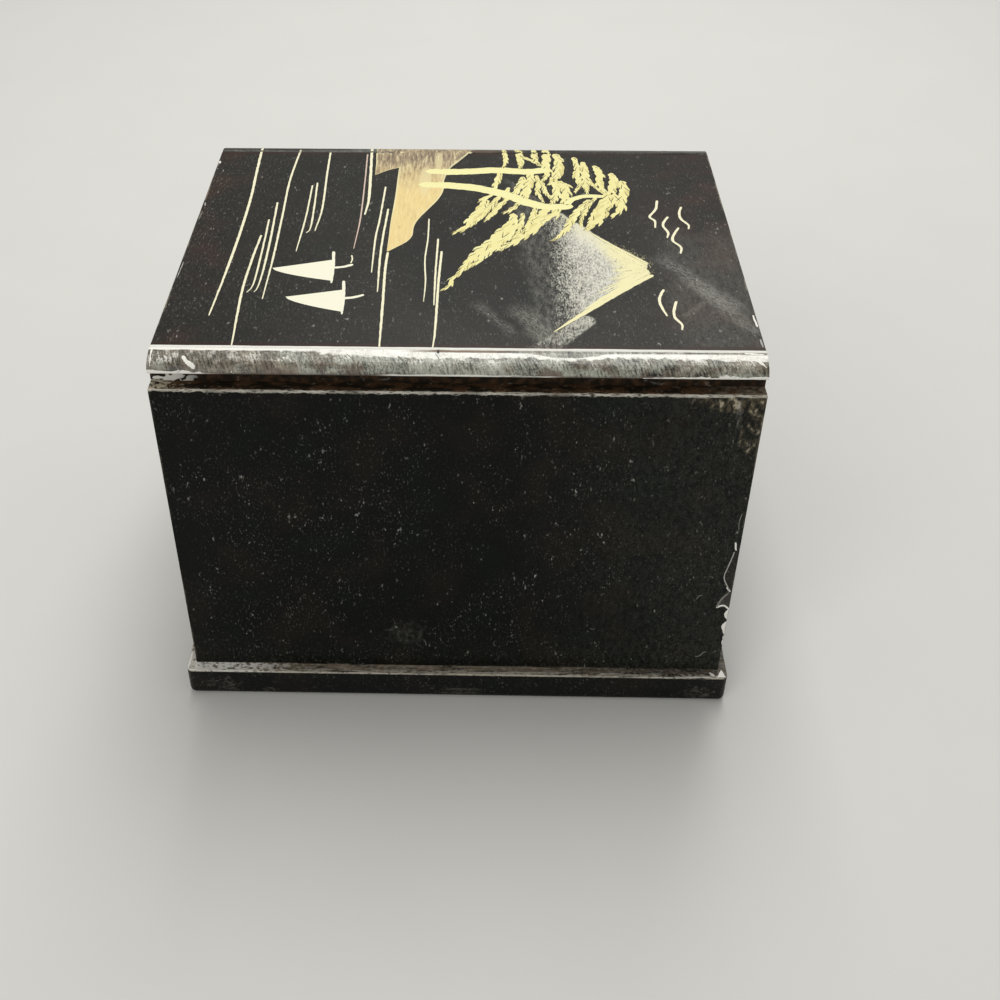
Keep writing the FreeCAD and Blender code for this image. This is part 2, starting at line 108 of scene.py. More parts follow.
ROSY_GREY = (0.400, 0.300, 0.270)
THIN_BLACK = (0.010, 0.008, 0.005)
FLAKE_BLACK = (0.035, 0.031, 0.028)
STAIN = (0.055, 0.022, 0.013)
STAIN_DARK = (0.022, 0.009, 0.006)
STAIN_LIGHT = (0.090, 0.042, 0.024)
FELT = (0.160, 0.012, 0.018)
FELT_PILE = (0.230, 0.022, 0.028)
FELT_WORN = (0.085, 0.006, 0.010)
BRASS = (0.740, 0.530, 0.240)
TARNISH = (0.300, 0.190, 0.080)
TARNISH_DARK = (0.050, 0.035, 0.020)
STEEL = (0.450, 0.440, 0.420)
RUST = (0.200, 0.120, 0.080)

LAMP_COLOUR = (1.0, 0.99, 0.95)
SURROUND = (0.94, 0.93, 0.87)
SURROUND_STRENGTH = 0.36
FLOOR_DARK = (0.70, 0.70, 0.69)
FLOOR_LIGHT = (0.73, 0.73, 0.72)
FLOOR_HALF = 3000.0

# The photograph's camera: place, then pitch, yaw and roll in degrees, and its lens
CAMERA_M = (0.27425, 0.00457, 0.24025)
CAMERA_ANGLES = (39.29, -1.54, 0.257)
LENS = 46.84
LENS_SHIFT = 0.05


def calculation(kind):
    """Method that makes a math node of this kind from its field and what it's called with."""
    return lambda *values: values[0].coat.math(kind, *values)


class Field:
    """A number that varies over a surface; sums and products of fields are math nodes."""

    def __init__(self, coat, socket):
        self.coat = coat
        self.socket = socket

    def __rsub__(self, other):
        return self.coat.math("SUBTRACT", other, self)

    __add__ = __radd__ = calculation("ADD")
    __sub__ = calculation("SUBTRACT")
    __mul__ = __rmul__ = calculation("MULTIPLY")
    __truediv__ = calculation("DIVIDE")
    __abs__ = calculation("ABSOLUTE")
    low = calculation("MINIMUM")
    high = calculation("MAXIMUM")

    def rise(self, start, end):
        """0 before start and 1 after end, smooth between; the other way round if end is lower."""
        ends = (start, end, 0.0, 1.0) if start < end else (end, start, 1.0, 0.0)
        node = self.coat.node("ShaderNodeMapRange", enumerate((self, *ends)),
                              interpolation_type="SMOOTHSTEP")
        return Field(self.coat, node.outputs[0])

    def between(self, start, end, soft):
        """1 between start and end, fading to 0 over soft outside them."""
        return self.rise(start - soft, start) * self.rise(end + soft, end)


class Coat:
    """Finish of one material, built up in layers of nodes. x, y, z are the place on the object."""

    def __init__(self, name, colour=BLACK, roughness=0.34):
        self.material = bpy.data.materials.new(name)
        self.material.use_nodes = True
        self.tree = self.material.node_tree
        coordinates = self.node("ShaderNodeTexCoord").outputs["Object"]
        scaled = self.node("ShaderNodeVectorMath", {0: coordinates, "Scale": 1 / MM},
                           operation="SCALE")
        self.place = scaled.outputs[0]
        split = self.node("ShaderNodeSeparateXYZ", {0: self.place})
        self.x, self.y, self.z = (Field(self, socket) for socket in split.outputs)
        self.colour = colour
        self.roughness = roughness
        self.height = 0.0

    def feed(self, socket, value):
        """Link a field or a socket, or set a constant."""
        if isinstance(value, Field):
            value = value.socket
        if isinstance(value, bpy.types.NodeSocket):
            self.tree.links.new(value, socket)
        elif socket.type == "RGBA":
            socket.default_value = (*value, 1.0)
        else:
            socket.default_value = value

    def node(self, kind, inputs=(), **properties):
        """New node; inputs gives what goes into a socket, by its name or number."""
        made = self.tree.nodes.new(kind)
        for name, value in properties.items():
            setattr(made, name, value)
        for socket, value in dict(inputs).items():
            self.feed(made.inputs[socket], value)
        return made

    def math(self, operation, *values):
        node = self.node("ShaderNodeMath", enumerate(values), operation=operation)
        return Field(self, node.outputs[0])

    def mix(self, factor, first, second):
        """Colour between first, at 0, and second, at 1."""
        inputs = {0: factor, 6: first, 7: second}
        return self.node("ShaderNodeMix", inputs, data_type="RGBA").outputs[2]

    def blend(self, factor, first, second):
        """Number between first, at 0, and second, at 1."""
        inputs = {0: factor, 2: first, 3: second}
        return self.node("ShaderNodeMix", inputs, data_type="FLOAT").outputs[0]

    def joined(self, *parts):
        """A place from three numbers or fields."""
        return self.node("ShaderNodeCombineXYZ", enumerate(parts)).outputs[0]

    def stretched(self, size, stretch, seed):
        """The place in units of size, drawn out along each axis by stretch, and shifted by seed."""
        inputs = {"Vector": self.place, "Scale": [1 / (size * factor) for factor in stretch],
                  "Location": (seed * 7.3, seed * 3.1, seed * 5.7)}
        return self.node("ShaderNodeMapping", inputs).outputs[0]

    def cloud(self, place, detail, distortion=0.0):
        """Cloudy field from 0 to 1, mostly about 0.5, with blotches one unit of place across."""
        inputs = {"Vector": place, "Scale": 1.0, "Detail": detail, "Distortion": distortion}
        return Field(self, self.node("ShaderNodeTexNoise", inputs).outputs["Fac"])

    def noise(self, size, seed, detail=2, stretch=(1, 1, 1), distortion=0.0):
        """Cloudy field with blotches about size across, drawn out along each axis by stretch."""
        return self.cloud(self.stretched(size, stretch, seed), detail, distortion)

    def specks(self, cell, radius, share, seed, stretch=(1, 1, 1)):
        """Separate spots of about radius, one in some of the cells: share gives how many."""
        inputs = {"Vector": self.stretched(cell, stretch, seed), "Scale": 1.0}
        cells = self.node("ShaderNodeTexVoronoi", inputs).outputs
        chance = self.node("ShaderNodeSeparateColor", {0: cells["Color"]}).outputs[0]
        present = Field(self, chance).rise(1 - share - 0.01, 1 - share)
        size = radius / cell
        return Field(self, cells["Distance"]).rise(size, 0.45 * size) * present

    def curve(self, value, points):
        """value, from 0 to 1, through a smooth curve by given points."""
        node = self.node("ShaderNodeFloatCurve", {"Value": value})
        line = node.mapping.curves[0]
        line.points[0].location = points[0]
        line.points[1].location = points[-1]
        for point in points[1:-1]:
            line.points.new(*point)
        node.mapping.update()
        return Field(self, node.outputs[0])

    def attribute(self, name):
        """A number stored in the mesh."""
        return Field(self, self.node("ShaderNodeAttribute", attribute_name=name).outputs["Fac"])

    def paint(self):
        """The colour stored in the mesh."""
        return self.node("ShaderNodeAttribute", attribute_name="paint").outputs["Color"]

    def arris(self, low, high):
        """Distance to the nearest edge of a board between those corners; both sides count alike."""
        axes = (abs(self.x), self.y, self.z)
        one, two, three = [(axis - start).low(end - axis)
                           for axis, start, end in zip(axes, low, high)]
        return one.low(two).high(one.high(two).low(three))

    def layer(self, mask, colour, roughness=None, lift=0.0):
        """Cover what is there where mask is 1; lift is the layer's thickness, for the bump."""
        self.colour = self.mix(mask, self.colour, colour)
        if roughness is not None:
            self.roughness = self.blend(mask, self.roughness, roughness)
        if lift:
            self.height = self.height + mask * lift

    def finish(self, metallic=0.0, specular=0.5, sheen=0.0):
        """The finished material."""
        values = {"Base Color": self.colour, "Roughness": self.roughness, "Metallic": metallic,
                  "Specular IOR Level": specular, "Sheen Weight": sheen}
        if isinstance(self.height, Field):
            bump = self.node("ShaderNodeBump", {"Distance": MM, "Height": self.height})
            values["Normal"] = bump.outputs[0]
        for name, value in values.items():
            self.feed(self.tree.nodes["Principled BSDF"].inputs[name], value)
        return self.material


def dusty_lacquer(name, seed, grain=(1, 6, 1)):
    """Thin black lacquer over wood, dulled, with lint; grain is how far its brush marks run."""
    coat = Coat(name)
    clouds = coat.noise(14, seed, 5)
    coat.layer(clouds.rise(0.50, 0.66) * 0.9, BROWN_BLACK)
    coat.layer(clouds.rise(0.50, 0.36), GREEN_BLACK)
    marks = coat.noise(0.7, seed + 1, 3, grain)
    coat.height = (marks - 0.5) * 0.006 + (coat.noise(5, seed + 2) - 0.5) * 0.03
    haze = coat.noise(9, seed + 3, 4).rise(0.45, 0.85)
    grit = coat.noise(0.55, seed + 4, 3).rise(0.48, 0.76)
    coat.layer((haze * 0.12 + 0.015) * grit, DUST, 0.6)
    return coat


def lint(coat, seed, upright=(1, 1, 1.8)):
    """Specks of dust and short fibres of all sizes, thicker in some places than in others."""
    drift = coat.noise(13, seed, 4).rise(0.28, 0.62)
    strength = coat.noise(2.2, seed + 1).rise(0.35, 0.75)
    bits = coat.noise(0.45, seed + 2, 2, upright).rise(0.57, 0.74)
    coat.layer(bits * drift * (strength * 0.55 + 0.10), DUST, 0.7)
    grains = coat.noise(0.80, seed + 3, 1, upright).rise(0.68, 0.77)
    coat.layer(grains * strength * (drift * 0.5 + 0.2), LINT, 0.7)
    coarse = coat.specks(4.2, 0.20, 0.35, seed + 4, upright)
    coat.layer(coarse * 0.5, LINT, 0.7)


def worn_edges(coat, low, high, seed, strength=0.8):
    """Lacquer rubbed through to the pale ground along a board's edges, in broken stretches."""
    low = Vector((-high[0], low[1], low[2]))
    ragged = coat.arris(low, high) + (coat.noise(0.9, seed) - 0.5) * 0.7
    stretches = coat.noise(7, seed + 1, 3).rise(0.42, 0.62)
    coat.layer(ragged.rise(0.42, 0.12) * stretches * strength, CREAM, 0.6)


def patch(coat, centre, size, seed, ragged=0.8, noise_size=2.0):
    """1 inside a rough-edged spot about centre (x, y, z), 0 outside; a size of None is endless."""
    total = 0.0
    for axis, middle, reach in zip((coat.x, coat.y, coat.z), centre, size):
        if reach is not None:
            step = (axis - middle) / reach
            total = step * step + total
    rough = (coat.noise(noise_size, seed, 3) - 0.5) * ragged * 4
    return (total + rough).rise(1.15, 0.55)


def lacquered_board(name, node, seed, grain=(1, 1, 6)):
    """Plain lacquered board with worn edges."""
    coat = dusty_lacquer(name, seed, grain)
    lint(coat, seed + 5)
    low, high = extent(node)
    worn_edges(coat, low, high, seed + 8)
    return coat.finish(specular=0.28)


def along_line(coat, start, end):
    """Distance along a line on the top from start, and distance off it to its left."""
    run = Vector(end) - Vector(start)
    step = run.normalized()
    x, y = coat.x - start[0], coat.y - start[1]
    return x * step.x + y * step.y, y * step.x - x * step.y


def smear(coat, start, end, half, strength, colour, seed):
    """A dragged, streaky smear of thin paint or dust from start to end, soft at its sides."""
    run, off = along_line(coat, start, end)
    length = (Vector(end) - Vector(start)).length
    waver = (coat.noise(half * 2, seed) - 0.5) * half * 1.4
    body = abs(off + waver).rise(half, half * 0.2)
    body = body * run.rise(-half, half) * run.rise(length + half, length - half)
    streaks = coat.cloud(coat.joined(run / 1.5, off / 0.45, coat.z), 3.0)
    grain = coat.noise(0.5, seed + 30, 4)
    coat.layer(body * (streaks * 0.5 + grain * 0.6).rise(0.40, 0.70) * strength, colour, 0.6)


def paint_top(coat):
    """Airbrushed parts of the scene: the mountain's snow, a far rock and smears of cloud."""
    x, y = coat.x, coat.y
    steeper = (x + 5.0).high(0.0)
    left_slope = (29.9 + (x + 5.0) * 0.70 + steeper * steeper * 0.008 - y) * 0.8
    right_slope = (43.4 - (x - 16.0) * 0.937 - y) * 0.730
    spray = coat.noise(0.34, 41, 4, (2.4, 1, 1))
    drift = coat.noise(6, 42, 3, (1.6, 1, 1)) - 0.5
    blunt_peak = (42.3 + abs(x - 13.2) * 0.25 - y + (spray - 0.5) * 1.6).rise(-0.1, 0.4)
    inside = right_slope.rise(-0.2, 0.5) * blunt_peak
    coarse = coat.noise(1.1, 50, 4, (2.6, 1, 1)) - 0.5
    foot = y + drift * 9.0 - (x - 14.0) * 0.05
    slope_edge = (left_slope + coarse * 1.0).rise(-0.4, 0.3) * inside
    veil = foot.rise(12.5, 16.0) * slope_edge * (spray * 0.6 + coarse * 0.7).rise(0.12, 0.55)
    coat.layer(veil * 0.15, SILVER, 0.5)
    body = foot.rise(16.0, 31.0) * 0.82
    body = body + left_slope.rise(8.0, 0.3) * foot.rise(22.0, 31.0) * 0.35
    grain = (spray - 0.5) * 2.1 + coarse * 0.8
    cover = (body + grain * (1.1 - body * 0.35)).rise(0.08, 1.12)
    cover = cover * slope_edge * (body + coarse * 0.2).rise(0.04, 0.30)
    coat.layer(cover * 0.92, coat.mix(left_slope.rise(7.0, 0.5), SILVER, SUNLIT), 0.5)
    overspray = left_slope.rise(-3.2, 0.5) * right_slope.rise(-1.5, 1.5)
    overspray = overspray * y.rise(33.0, 41.0) * y.rise(44.5, 42.0)
    coat.layer(overspray * (spray + coarse * 0.5).rise(0.52, 0.66) * 0.6, LINE_GOLD, 0.5)
    brow = (y + drift * 5.0 - abs(left_slope - 2.0) * 0.6).rise(29.0, 36.0)
    brow = brow * inside * left_slope.rise(-0.4, 0.6)
    coat.layer(brow * (spray + coarse * 0.4).rise(0.22, 0.46), LINE_GOLD, 0.45)
    run, off = along_line(coat, (34.0, 27.5), (45.0, 19.2))
    blunt = run - (off - 0.8) * (off - 0.8) * 0.3
    rock = (off + coarse * 0.5).rise(3.3, 2.5) * blunt.rise(-0.8, 0.2) * right_slope.rise(0.4, -0.4)
    rocky = (spray * 0.7 + coarse * 0.5 + run.rise(16.0, 0.0) * 0.16).rise(0.22, 0.68)
    coat.layer(rock * rocky * 0.85, SILVER, 0.5)
    smear(coat, (31.0, 13.0), (46.0, 20.0), 3.8, 0.22, SILVER, 45)
    smear(coat, (29.0, 4.0), (42.0, 12.0), 2.4, 0.13, SILVER, 46)
    # Paler haze towards the back end on the right-hand half: dust, and painted sheen that stands in
    # for reflected light
    hazy = (x + drift * 24.0).rise(-14.0, 12.0) * (y + drift * 16.0).rise(40.0, 52.0)
    coat.layer(hazy * (spray * 0.6 + coarse * 0.7 + 0.24).rise(0.25, 0.75) * 0.27, DUST, 0.6)
    smear(coat, (8.0, 46.0), (31.0, 60.0), 3.4, 0.38, LINT, 47)
    smear(coat, (20.0, 52.0), (40.0, 63.0), 2.8, 0.34, LINT, 48)
    smear(coat, (34.0, 48.0), (27.0, 54.0), 1.0, 0.50, DUST, 49)
    # Faint paler haze away from the middle of the top: dust, and painted sheen that stands in for
    # reflected light
    centre, reach = (8.0, 12.0, TOP_HIGH.z), (36.0, 30.0, None)
    aside = patch(coat, centre, reach, 43, ragged=0.25, noise_size=9.0)
    coat.layer((1.0 - aside) * (spray * 0.7 + 0.1).rise(0.30, 0.60) * 0.07, DUST, 0.6)


def top_board_material():
    coat = dusty_lacquer("lacquer_top", 3, grain=(6, 1, 1))
    coat.layer(coat.noise(17, 30, 3).rise(0.35, 0.65) * 0.7, BROWN_BLACK)
    rubbed = coat.noise(12, 31, 4).rise(0.42, 0.68)
    ends = coat.y.rise(36.0, 58.0).high(coat.y.rise(-46.0, -62.0))
    coat.layer(rubbed * ends * 0.75, RED_BROWN)
    paint_top(coat)
    marks = coat.noise(0.42, 32, 3, (3.5, 1, 1)).rise(0.57, 0.76)
    bare = coat.noise(10, 38, 3).rise(0.38, 0.66)
    coat.layer(marks * bare * (coat.y.rise(-8.0, -48.0) * 0.25 + 0.45), DUST, 0.6)
    lint(coat, 33, upright=(2.0, 1, 1))
    worn_edges(coat, (0, FRONT_END, LIP), TOP_HIGH, 36, strength=0.35)
    rim_noise = (coat.noise(1.3, 37, 3, (1, 5, 1)) - 0.5) * 0.35
    out = abs(coat.x) - FLAT_EDGE + rim_noise
    coat.layer(out.between(-1.6, -0.7, 0.6) * 0.6, RED_BROWN)
    # Pale line along the top's near rim: a painted highlight on the rounded edge, and worn ground
    facing = coat.x.rise(-1.0, 1.0) * 0.94 + 0.04
    coat.layer(out.rise(-0.66, -0.40) * facing, GESSO_AND_HIGHLIGHT, 0.35)
    # Painted shade: the far rim is painted black and matt, so that it shows no highlight
    coat.layer((coat.x + FLAT_EDGE).rise(0.5, 0.2), SOOT_AND_SHADE, 0.9)
    neck = coat.z.rise(LIP + 0.3, LIP)
    coat.layer(neck, RECESS_DARK, 0.6)
    outer_face = coat.x.rise(NECK_FACE - 0.35, NECK_FACE - 0.12)
    blotches = coat.noise(2, 39, 4).rise(0.4, 0.7)
    coat.layer(neck * blotches * (outer_face * 0.7 + 0.3), RECESS_BROWN, 0.6)
    flakes = coat.noise(1.5, 40, 4, (1, 1.7, 0.8), distortion=0.6)
    left_end = coat.y.rise(-51.0, -59.0)
    flaked = (flakes + left_end * 0.20).rise(0.62, 0.68) * (left_end * 0.8 + 0.1)
    coat.layer(neck * outer_face * flaked, GESSO_AND_HIGHLIGHT, 0.6)
    return coat.finish(specular=0.17)


def roll_material(name, specular):
    """Rounded moulding: on the right rubbed grey, a ragged streak of painted highlight, a chipped
    lip.
    """
    coat = dusty_lacquer(name, 50, grain=(1, 1, 1))
    x, y, z = abs(coat.x), coat.y, coat.z
    facing = coat.x.rise(-1.0, 1.0) * 0.9 + 0.1
    run = (y - FRONT_END) / (BACK_END - FRONT_END)
    out = x - FLAT_EDGE
    around = out + ROLL_HIGH.z - z
    hatch = coat.cloud(coat.joined(around * 0.45, (y - around * 0.25) * 2.2, 0.0), 5.0, 0.35)
    grit = coat.noise(0.4, 51, 3)
    clouds = coat.noise(4, 52, 4, (1, 1.4, 1))
    grey = (hatch * 0.8 + grit * 0.5 + clouds * 0.8).rise(0.74, 1.26)
    under = z.rise(LIP + 0.1, LIP + 0.8) * 0.8 + 0.2
    spots = coat.noise(4, 57, 4, (1, 1.5, 1))
    brown = (spots + run.rise(0.34, 0.16) * 0.25 + run.rise(0.72, 0.92) * 0.14).rise(0.48, 0.68)
    near_end = 1.0 - run.rise(0.14, 0.02) * 0.25
    coat.layer(grey * under * facing * near_end, coat.mix(brown, BLOOM, GREY_BROWN), 0.3)
    coat.layer(out.rise(3.2, 5.0) * spots.rise(0.50, 0.66) * facing * 0.5, MAROON, 0.4)
    # Painted highlight: pale streaks on the upper part of the near moulding, partly rubbed pale
    # ground
    sheen_streaks = coat.noise(3.2, 61, 4, (1, 1.3, 1), distortion=1.2)
    painted_shine = (hatch * 0.5 + sheen_streaks * 0.6 + (grit - 0.5) * 0.4).rise(0.54, 0.70)
    painted_shine = painted_shine * clouds.rise(0.40, 0.60) * out.rise(5.4, 3.4)
    coat.layer(painted_shine * 0.66 * facing, GESSO_AND_HIGHLIGHT, 0.25)
    dots = grit.rise(0.64, 0.76) * coat.noise(3, 60).rise(0.4, 0.6)
    coat.layer(dots * 0.5 * facing, LINT, 0.3)
    # The bright streak is a painted highlight, partly over rubbed pale ground, on the near moulding
    # only
    # The bright streak's two edges: how far along the moulding, then how far out, in parts of span
    span = 6.0
    low = span * coat.curve(run, (
        (0, 0.12), (0.12, 0.12), (0.18, 0.13), (0.245, 0.22), (0.33, 0.38), (0.46, 0.47),
        (0.55, 0.48), (0.60, 0.40), (0.64, 0.47), (0.67, 0.53), (0.71, 0.50), (0.75, 0.41),
        (0.82, 0.40), (0.9, 0.43), (1, 0.50)))
    high = span * coat.curve(run, (
        (0, 0.0), (0.40, 0.0), (0.455, 0.05), (0.48, 0.17), (0.60, 0.20), (0.64, 0.31),
        (0.67, 0.40), (0.71, 0.36), (0.75, 0.21), (0.82, 0.17), (1, 0.15)))
    ragged = (coat.noise(1.2, 53, 5, (1, 1.3, 1)) - 0.5) * 2.3
    edge = (out - high + ragged * 0.25).rise(-0.15, 0.15)
    band = (low + ragged - out).rise(-0.2, 0.3) * edge
    patches = (grit * 0.6 + sheen_streaks * 0.6).rise(0.42, 0.66)
    coat.layer(band * (patches * 0.40 + 0.55) * facing, GESSO_AND_HIGHLIGHT, 0.28)
    gap = out.between(0.45, 1.05, 0.2) * run.rise(0.40, 0.47)
    gap_colour = coat.mix(run.rise(0.55, 0.60), RUST_BROWN, RED_BROWN)
    coat.layer(gap * (run.rise(0.62, 0.58) * 0.5 + 0.4), gap_colour, 0.4)
    # Pale line along the near moulding's inner edge, wider towards the front: worn ground, and a
    # painted highlight on the rounded edge
    seam = coat.noise(1.1, 56, 4, (1, 3, 1)) * 0.9 - 0.2 - run.rise(0.40, 0.15) * 0.85
    coat.layer((out + seam).rise(0.66, 0.40) * (facing * 1.1 - 0.1), GESSO_AND_HIGHLIGHT, 0.3)
    crack = abs(y + 3.8 + (grit - 0.5) * 0.5).rise(0.34, 0.10) * out.rise(1.8, 1.2)
    coat.layer(crack, SOOT_AND_SHADE, 0.6, lift=-0.05)
    chips = coat.noise(1.5, 58, 4, (1, 1.8, 0.7), distortion=0.5)
    ends = run.rise(0.16, 0.02).high(run.rise(0.975, 1.0) * 1.1).high(run.rise(0.80, 0.92) * 0.75)
    flaked = z.rise(LIP + 1.5, LIP + 0.5) * ends
    coat.layer((chips + flaked * 0.42).rise(0.76, 0.82) * 0.9 * facing, GESSO_AND_HIGHLIGHT, 0.5, lift=-0.06)
    # Light line along the lip, pale where strong and rosy grey elsewhere: a painted highlight on
    # the lip's edge, over worn ground
    lip_wave = (coat.noise(5, 54, 3, (1, 2, 1)) - 0.5) * 0.7
    lip_here = run.between(0.40, 0.64, 0.04).high(run.rise(0.78, 0.88)).high(run.rise(0.14, 0.06))
    lip = (z + lip_wave).between(LIP + 0.15, LIP + 0.45, 0.15) * (lip_here * 0.75 + 0.14)
    coat.layer(lip * facing, coat.mix(lip_here, ROSY_GREY, GESSO_AND_HIGHLIGHT), 0.4)
    coat.height = coat.height + (coat.noise(7, 59, 2, (0.5, 1.2, 0.5)) - 0.5) * 0.16
    coat.height = coat.height + (hatch - 0.5) * 0.02
    return coat.finish(specular=specular)


def side_material():
    coat = dusty_lacquer("lacquer_side", 70, grain=(1, 1, 7))
    x, y, z = abs(coat.x), coat.y, coat.z
    lint(coat, 75)
    facing = coat.x.rise(-1.0, 1.0)
    worn_edges(coat, (0, FRONT_END, LEDGE), SIDE_HIGH, 78, strength=0.15)
    rough = coat.noise(1.0, 81, 5, (1, 1, 1.8))
    for place, reach, strength, seed in (((0, 60.5, 88.0), (9.0, 4.0), 0.75, 82),
                                         ((0, 62.5, 82.0), (4.0, 9.0), 0.6, 85),
                                         ((0, 56.0, 87.0), (8.0, 2.5), 0.5, 86)):
        corner = patch(coat, place, (None, *reach), seed, ragged=0.35, noise_size=3.0) * facing
        coat.layer(corner * (rough.rise(0.42, 0.64) * 0.9 + 0.05) * strength * 0.62, SCUFF, 0.6)
        coat.layer(corner * rough.rise(0.58, 0.68) * strength * 0.8, CREAM, 0.6)
    outer_face = coat.x.rise(SIDE_HIGH.x - 0.5, SIDE_HIGH.x - 0.2)
    film = (y.rise(4.0, 62.0) * 0.14 + z.rise(24.0, 9.0) * 0.05) * outer_face
    film = film * (rough * 0.5 + coat.noise(0.5, 88, 3) * 0.6).rise(0.40, 0.70)
    coat.layer(film, GREEN_DUST, 0.5)
    rub = abs(y - 58.3 + (rough - 0.5) * 1.6).rise(0.6, 0.1) * z.between(82.0, 87.5, 3.0) * facing
    coat.layer(rub * rough.rise(0.35, 0.7) * 0.30, LINT, 0.6)
    smudge = patch(coat, (0, -12.0, 19.0), (None, 5.0, 4.2), 83, ragged=0.9) * facing
    coat.layer(smudge * rough.rise(0.30, 0.85) * 0.20, DUST, 0.6)
    top = z.rise(SHOULDER - 0.25, SHOULDER - 0.08)
    coat.layer(top, RECESS_DARK, 0.6)
    coat.layer(top * coat.noise(1.6, 84, 4, (1, 2.5, 1)).rise(0.42, 0.62), RECESS_BROWN, 0.6)
    flecks = coat.noise(0.7, 87, 4, (1, 1.5, 1))
    bare = y.rise(-54.0, -61.5) * facing
    coat.layer(top * y.rise(48.0, 60.0) * facing * flecks.rise(0.30, 0.66) * 0.75, LEDGE_TAN, 0.6)
    coat.layer(top * (flecks + bare * 0.18).rise(0.60, 0.74) * (bare * 0.6 + 0.25), CREAM, 0.6)
    rim = (SIDE_HIGH.x - x).high(SHOULDER - z)
    dashes = coat.noise(0.8, 79, 4, (1, 2.2, 1))
    stretches = coat.noise(9, 80, 3).rise(0.36, 0.56) * 0.65 + 0.35
    dashed = (rim + (dashes - 0.5) * 1.7).rise(0.62, 0.25) * dashes.rise(0.26, 0.52) * stretches
    coat.layer(dashed * (facing * 0.45 + 0.45), BARE, 0.55)
    return coat.finish(specular=0.10)


def base_material():
    coat = dusty_lacquer("lacquer_base", 90, grain=(1, 6, 1))
    lint(coat, 95, upright=(1, 1, 1))
    x, y, z = abs(coat.x), coat.y, coat.z
    facing = coat.x.rise(-1.0, 1.0)
    top = z.rise(LEDGE - 0.35, LEDGE - 0.1)
    lines = coat.noise(0.5, 96, 3, (1, 9, 1))
    coat.layer(top * lines.rise(0.22, 0.62) * (y.rise(45.0, 20.0) * 0.5 + 0.45), LEDGE_TAN, 0.55)
    grit = coat.noise(0.6, 97, 4, (1, 1.6, 1))
    dusty = y.rise(-34.0, -54.0) * coat.x.rise(44.0, 53.0)
    dust = (grit + dusty * 0.10).rise(0.46, 0.64) * (dusty * 0.82 + 0.14)
    coat.layer(top * dust * (facing * 0.6 + 0.4), GESSO_AND_HIGHLIGHT, 0.6)
    outer = x.rise(BASE_HIGH.x - 1.5, BASE_HIGH.x - 0.9)
    outer = outer * (lines * 0.6 + grit * 0.4).rise(0.42, 0.56)
    coat.layer(top * outer * (y.rise(-5.0, 40.0) * 0.25 + 0.40) * facing, BARE, 0.6)
    front = y.rise(FRONT_END + 0.5, FRONT_END - 0.5)
    coat.layer(top * front * grit.rise(0.36, 0.62) * 0.5, LEDGE_TAN, 0.6)
    worn_edges(coat, BASE_LOW, BASE_HIGH, 98, strength=0.5)
    arris = (BASE_HIGH.x - x).high(LEDGE - z)
    stretches = coat.noise(9, 104).rise(0.35, 0.6) * 0.7 + 0.3
    dotted = (arris + (grit - 0.5) * 1.2).rise(0.42, 0.08)
    coat.layer(dotted * stretches * grit.rise(0.32, 0.54) * (facing * 0.5 + 0.35), BARE, 0.6)
    for place, reach, seed in (((0, -56.5, 3.5), (4.5, 2.6), 99),
                               ((0, -45.5, 1.6), (2.2, 1.4), 100),
                               ((0, 59.0, 2.9), (3.0, 2.6), 101)):
        spot = patch(coat, place, (None, *reach), seed, noise_size=1.2) * facing
        spot = spot * x.rise(BASE_HIGH.x - 1.5, BASE_HIGH.x - 0.5)
        coat.layer(spot * grit.rise(0.40, 0.75) * 0.32, DUST, 0.6)
    for level, seed in ((1.6, 102), (2.9, 103)):
        rub = patch(coat, (0, 1.5, level), (None, 5.5, 0.5), seed, ragged=0.3) * facing
        coat.layer(rub * grit.rise(0.35, 0.55) * 0.22, DUST, 0.6)
    return coat.finish(specular=0.16)


def stained_wood_material():
    """Thin dark red-brown stain on plain boards, matt, with the grain showing."""
    coat = Coat("stained_wood", STAIN, 0.6)
    grain = coat.noise(0.9, 110, 5, (1, 14, 1), distortion=0.8)
    coat.layer(grain.rise(0.35, 0.75), STAIN_DARK)
    coat.layer(coat.noise(12, 111, 3).rise(0.5, 0.75) * 0.4, STAIN_LIGHT)
    coat.layer(coat.specks(1.6, 0.16, 0.3, 112, (1, 5, 1)) * 0.8, SOOT_AND_SHADE)
    coat.height = (grain - 0.5) * 0.05
    return coat.finish(specular=0.25)


def felt_material():
    """Short-pile felt: matted fibres, lighter where the pile stands up."""
    coat = Coat("felt", FELT, 0.95)
    fibres = coat.noise(0.22, 120, 4, (1, 1.8, 1), distortion=1.5)
    coat.layer(fibres.rise(0.35, 0.7), FELT_PILE)
    coat.layer(coat.noise(11, 121, 3).rise(0.5, 0.75) * 0.5, FELT_WORN)
    coat.layer(coat.specks(1.9, 0.12, 0.3, 122) * 0.5, LINT)
    coat.height = (fibres - 0.5) * 0.22
    return coat.finish(specular=0.1, sheen=0.6)


def brass_material():
    """Turned brass, tarnished brown in patches and bright where fingers rub it."""
    coat = Coat("tarnished_brass", BRASS, 0.28)
    blotches = coat.noise(1.8, 130, 4)
    coat.layer(blotches.rise(0.42, 0.72) * 0.8, TARNISH, 0.48)
    coat.layer(coat.specks(0.8, 0.1, 0.4, 131) * 0.8, TARNISH_DARK, 0.7)
    coat.height = (coat.noise(0.25, 132, 2, (4, 1, 4)) - 0.5) * 0.012
    return coat.finish(metallic=1.0)


def steel_material():
    """Dull steel with a touch of rust."""
    coat = Coat("dull_steel", STEEL, 0.4)
    coat.layer(coat.noise(0.7, 140, 3).rise(0.5, 0.7), RUST, 0.7)
    coat.height = (coat.noise(0.2, 141) - 0.5) * 0.01
    return coat.finish(metallic=0.9)


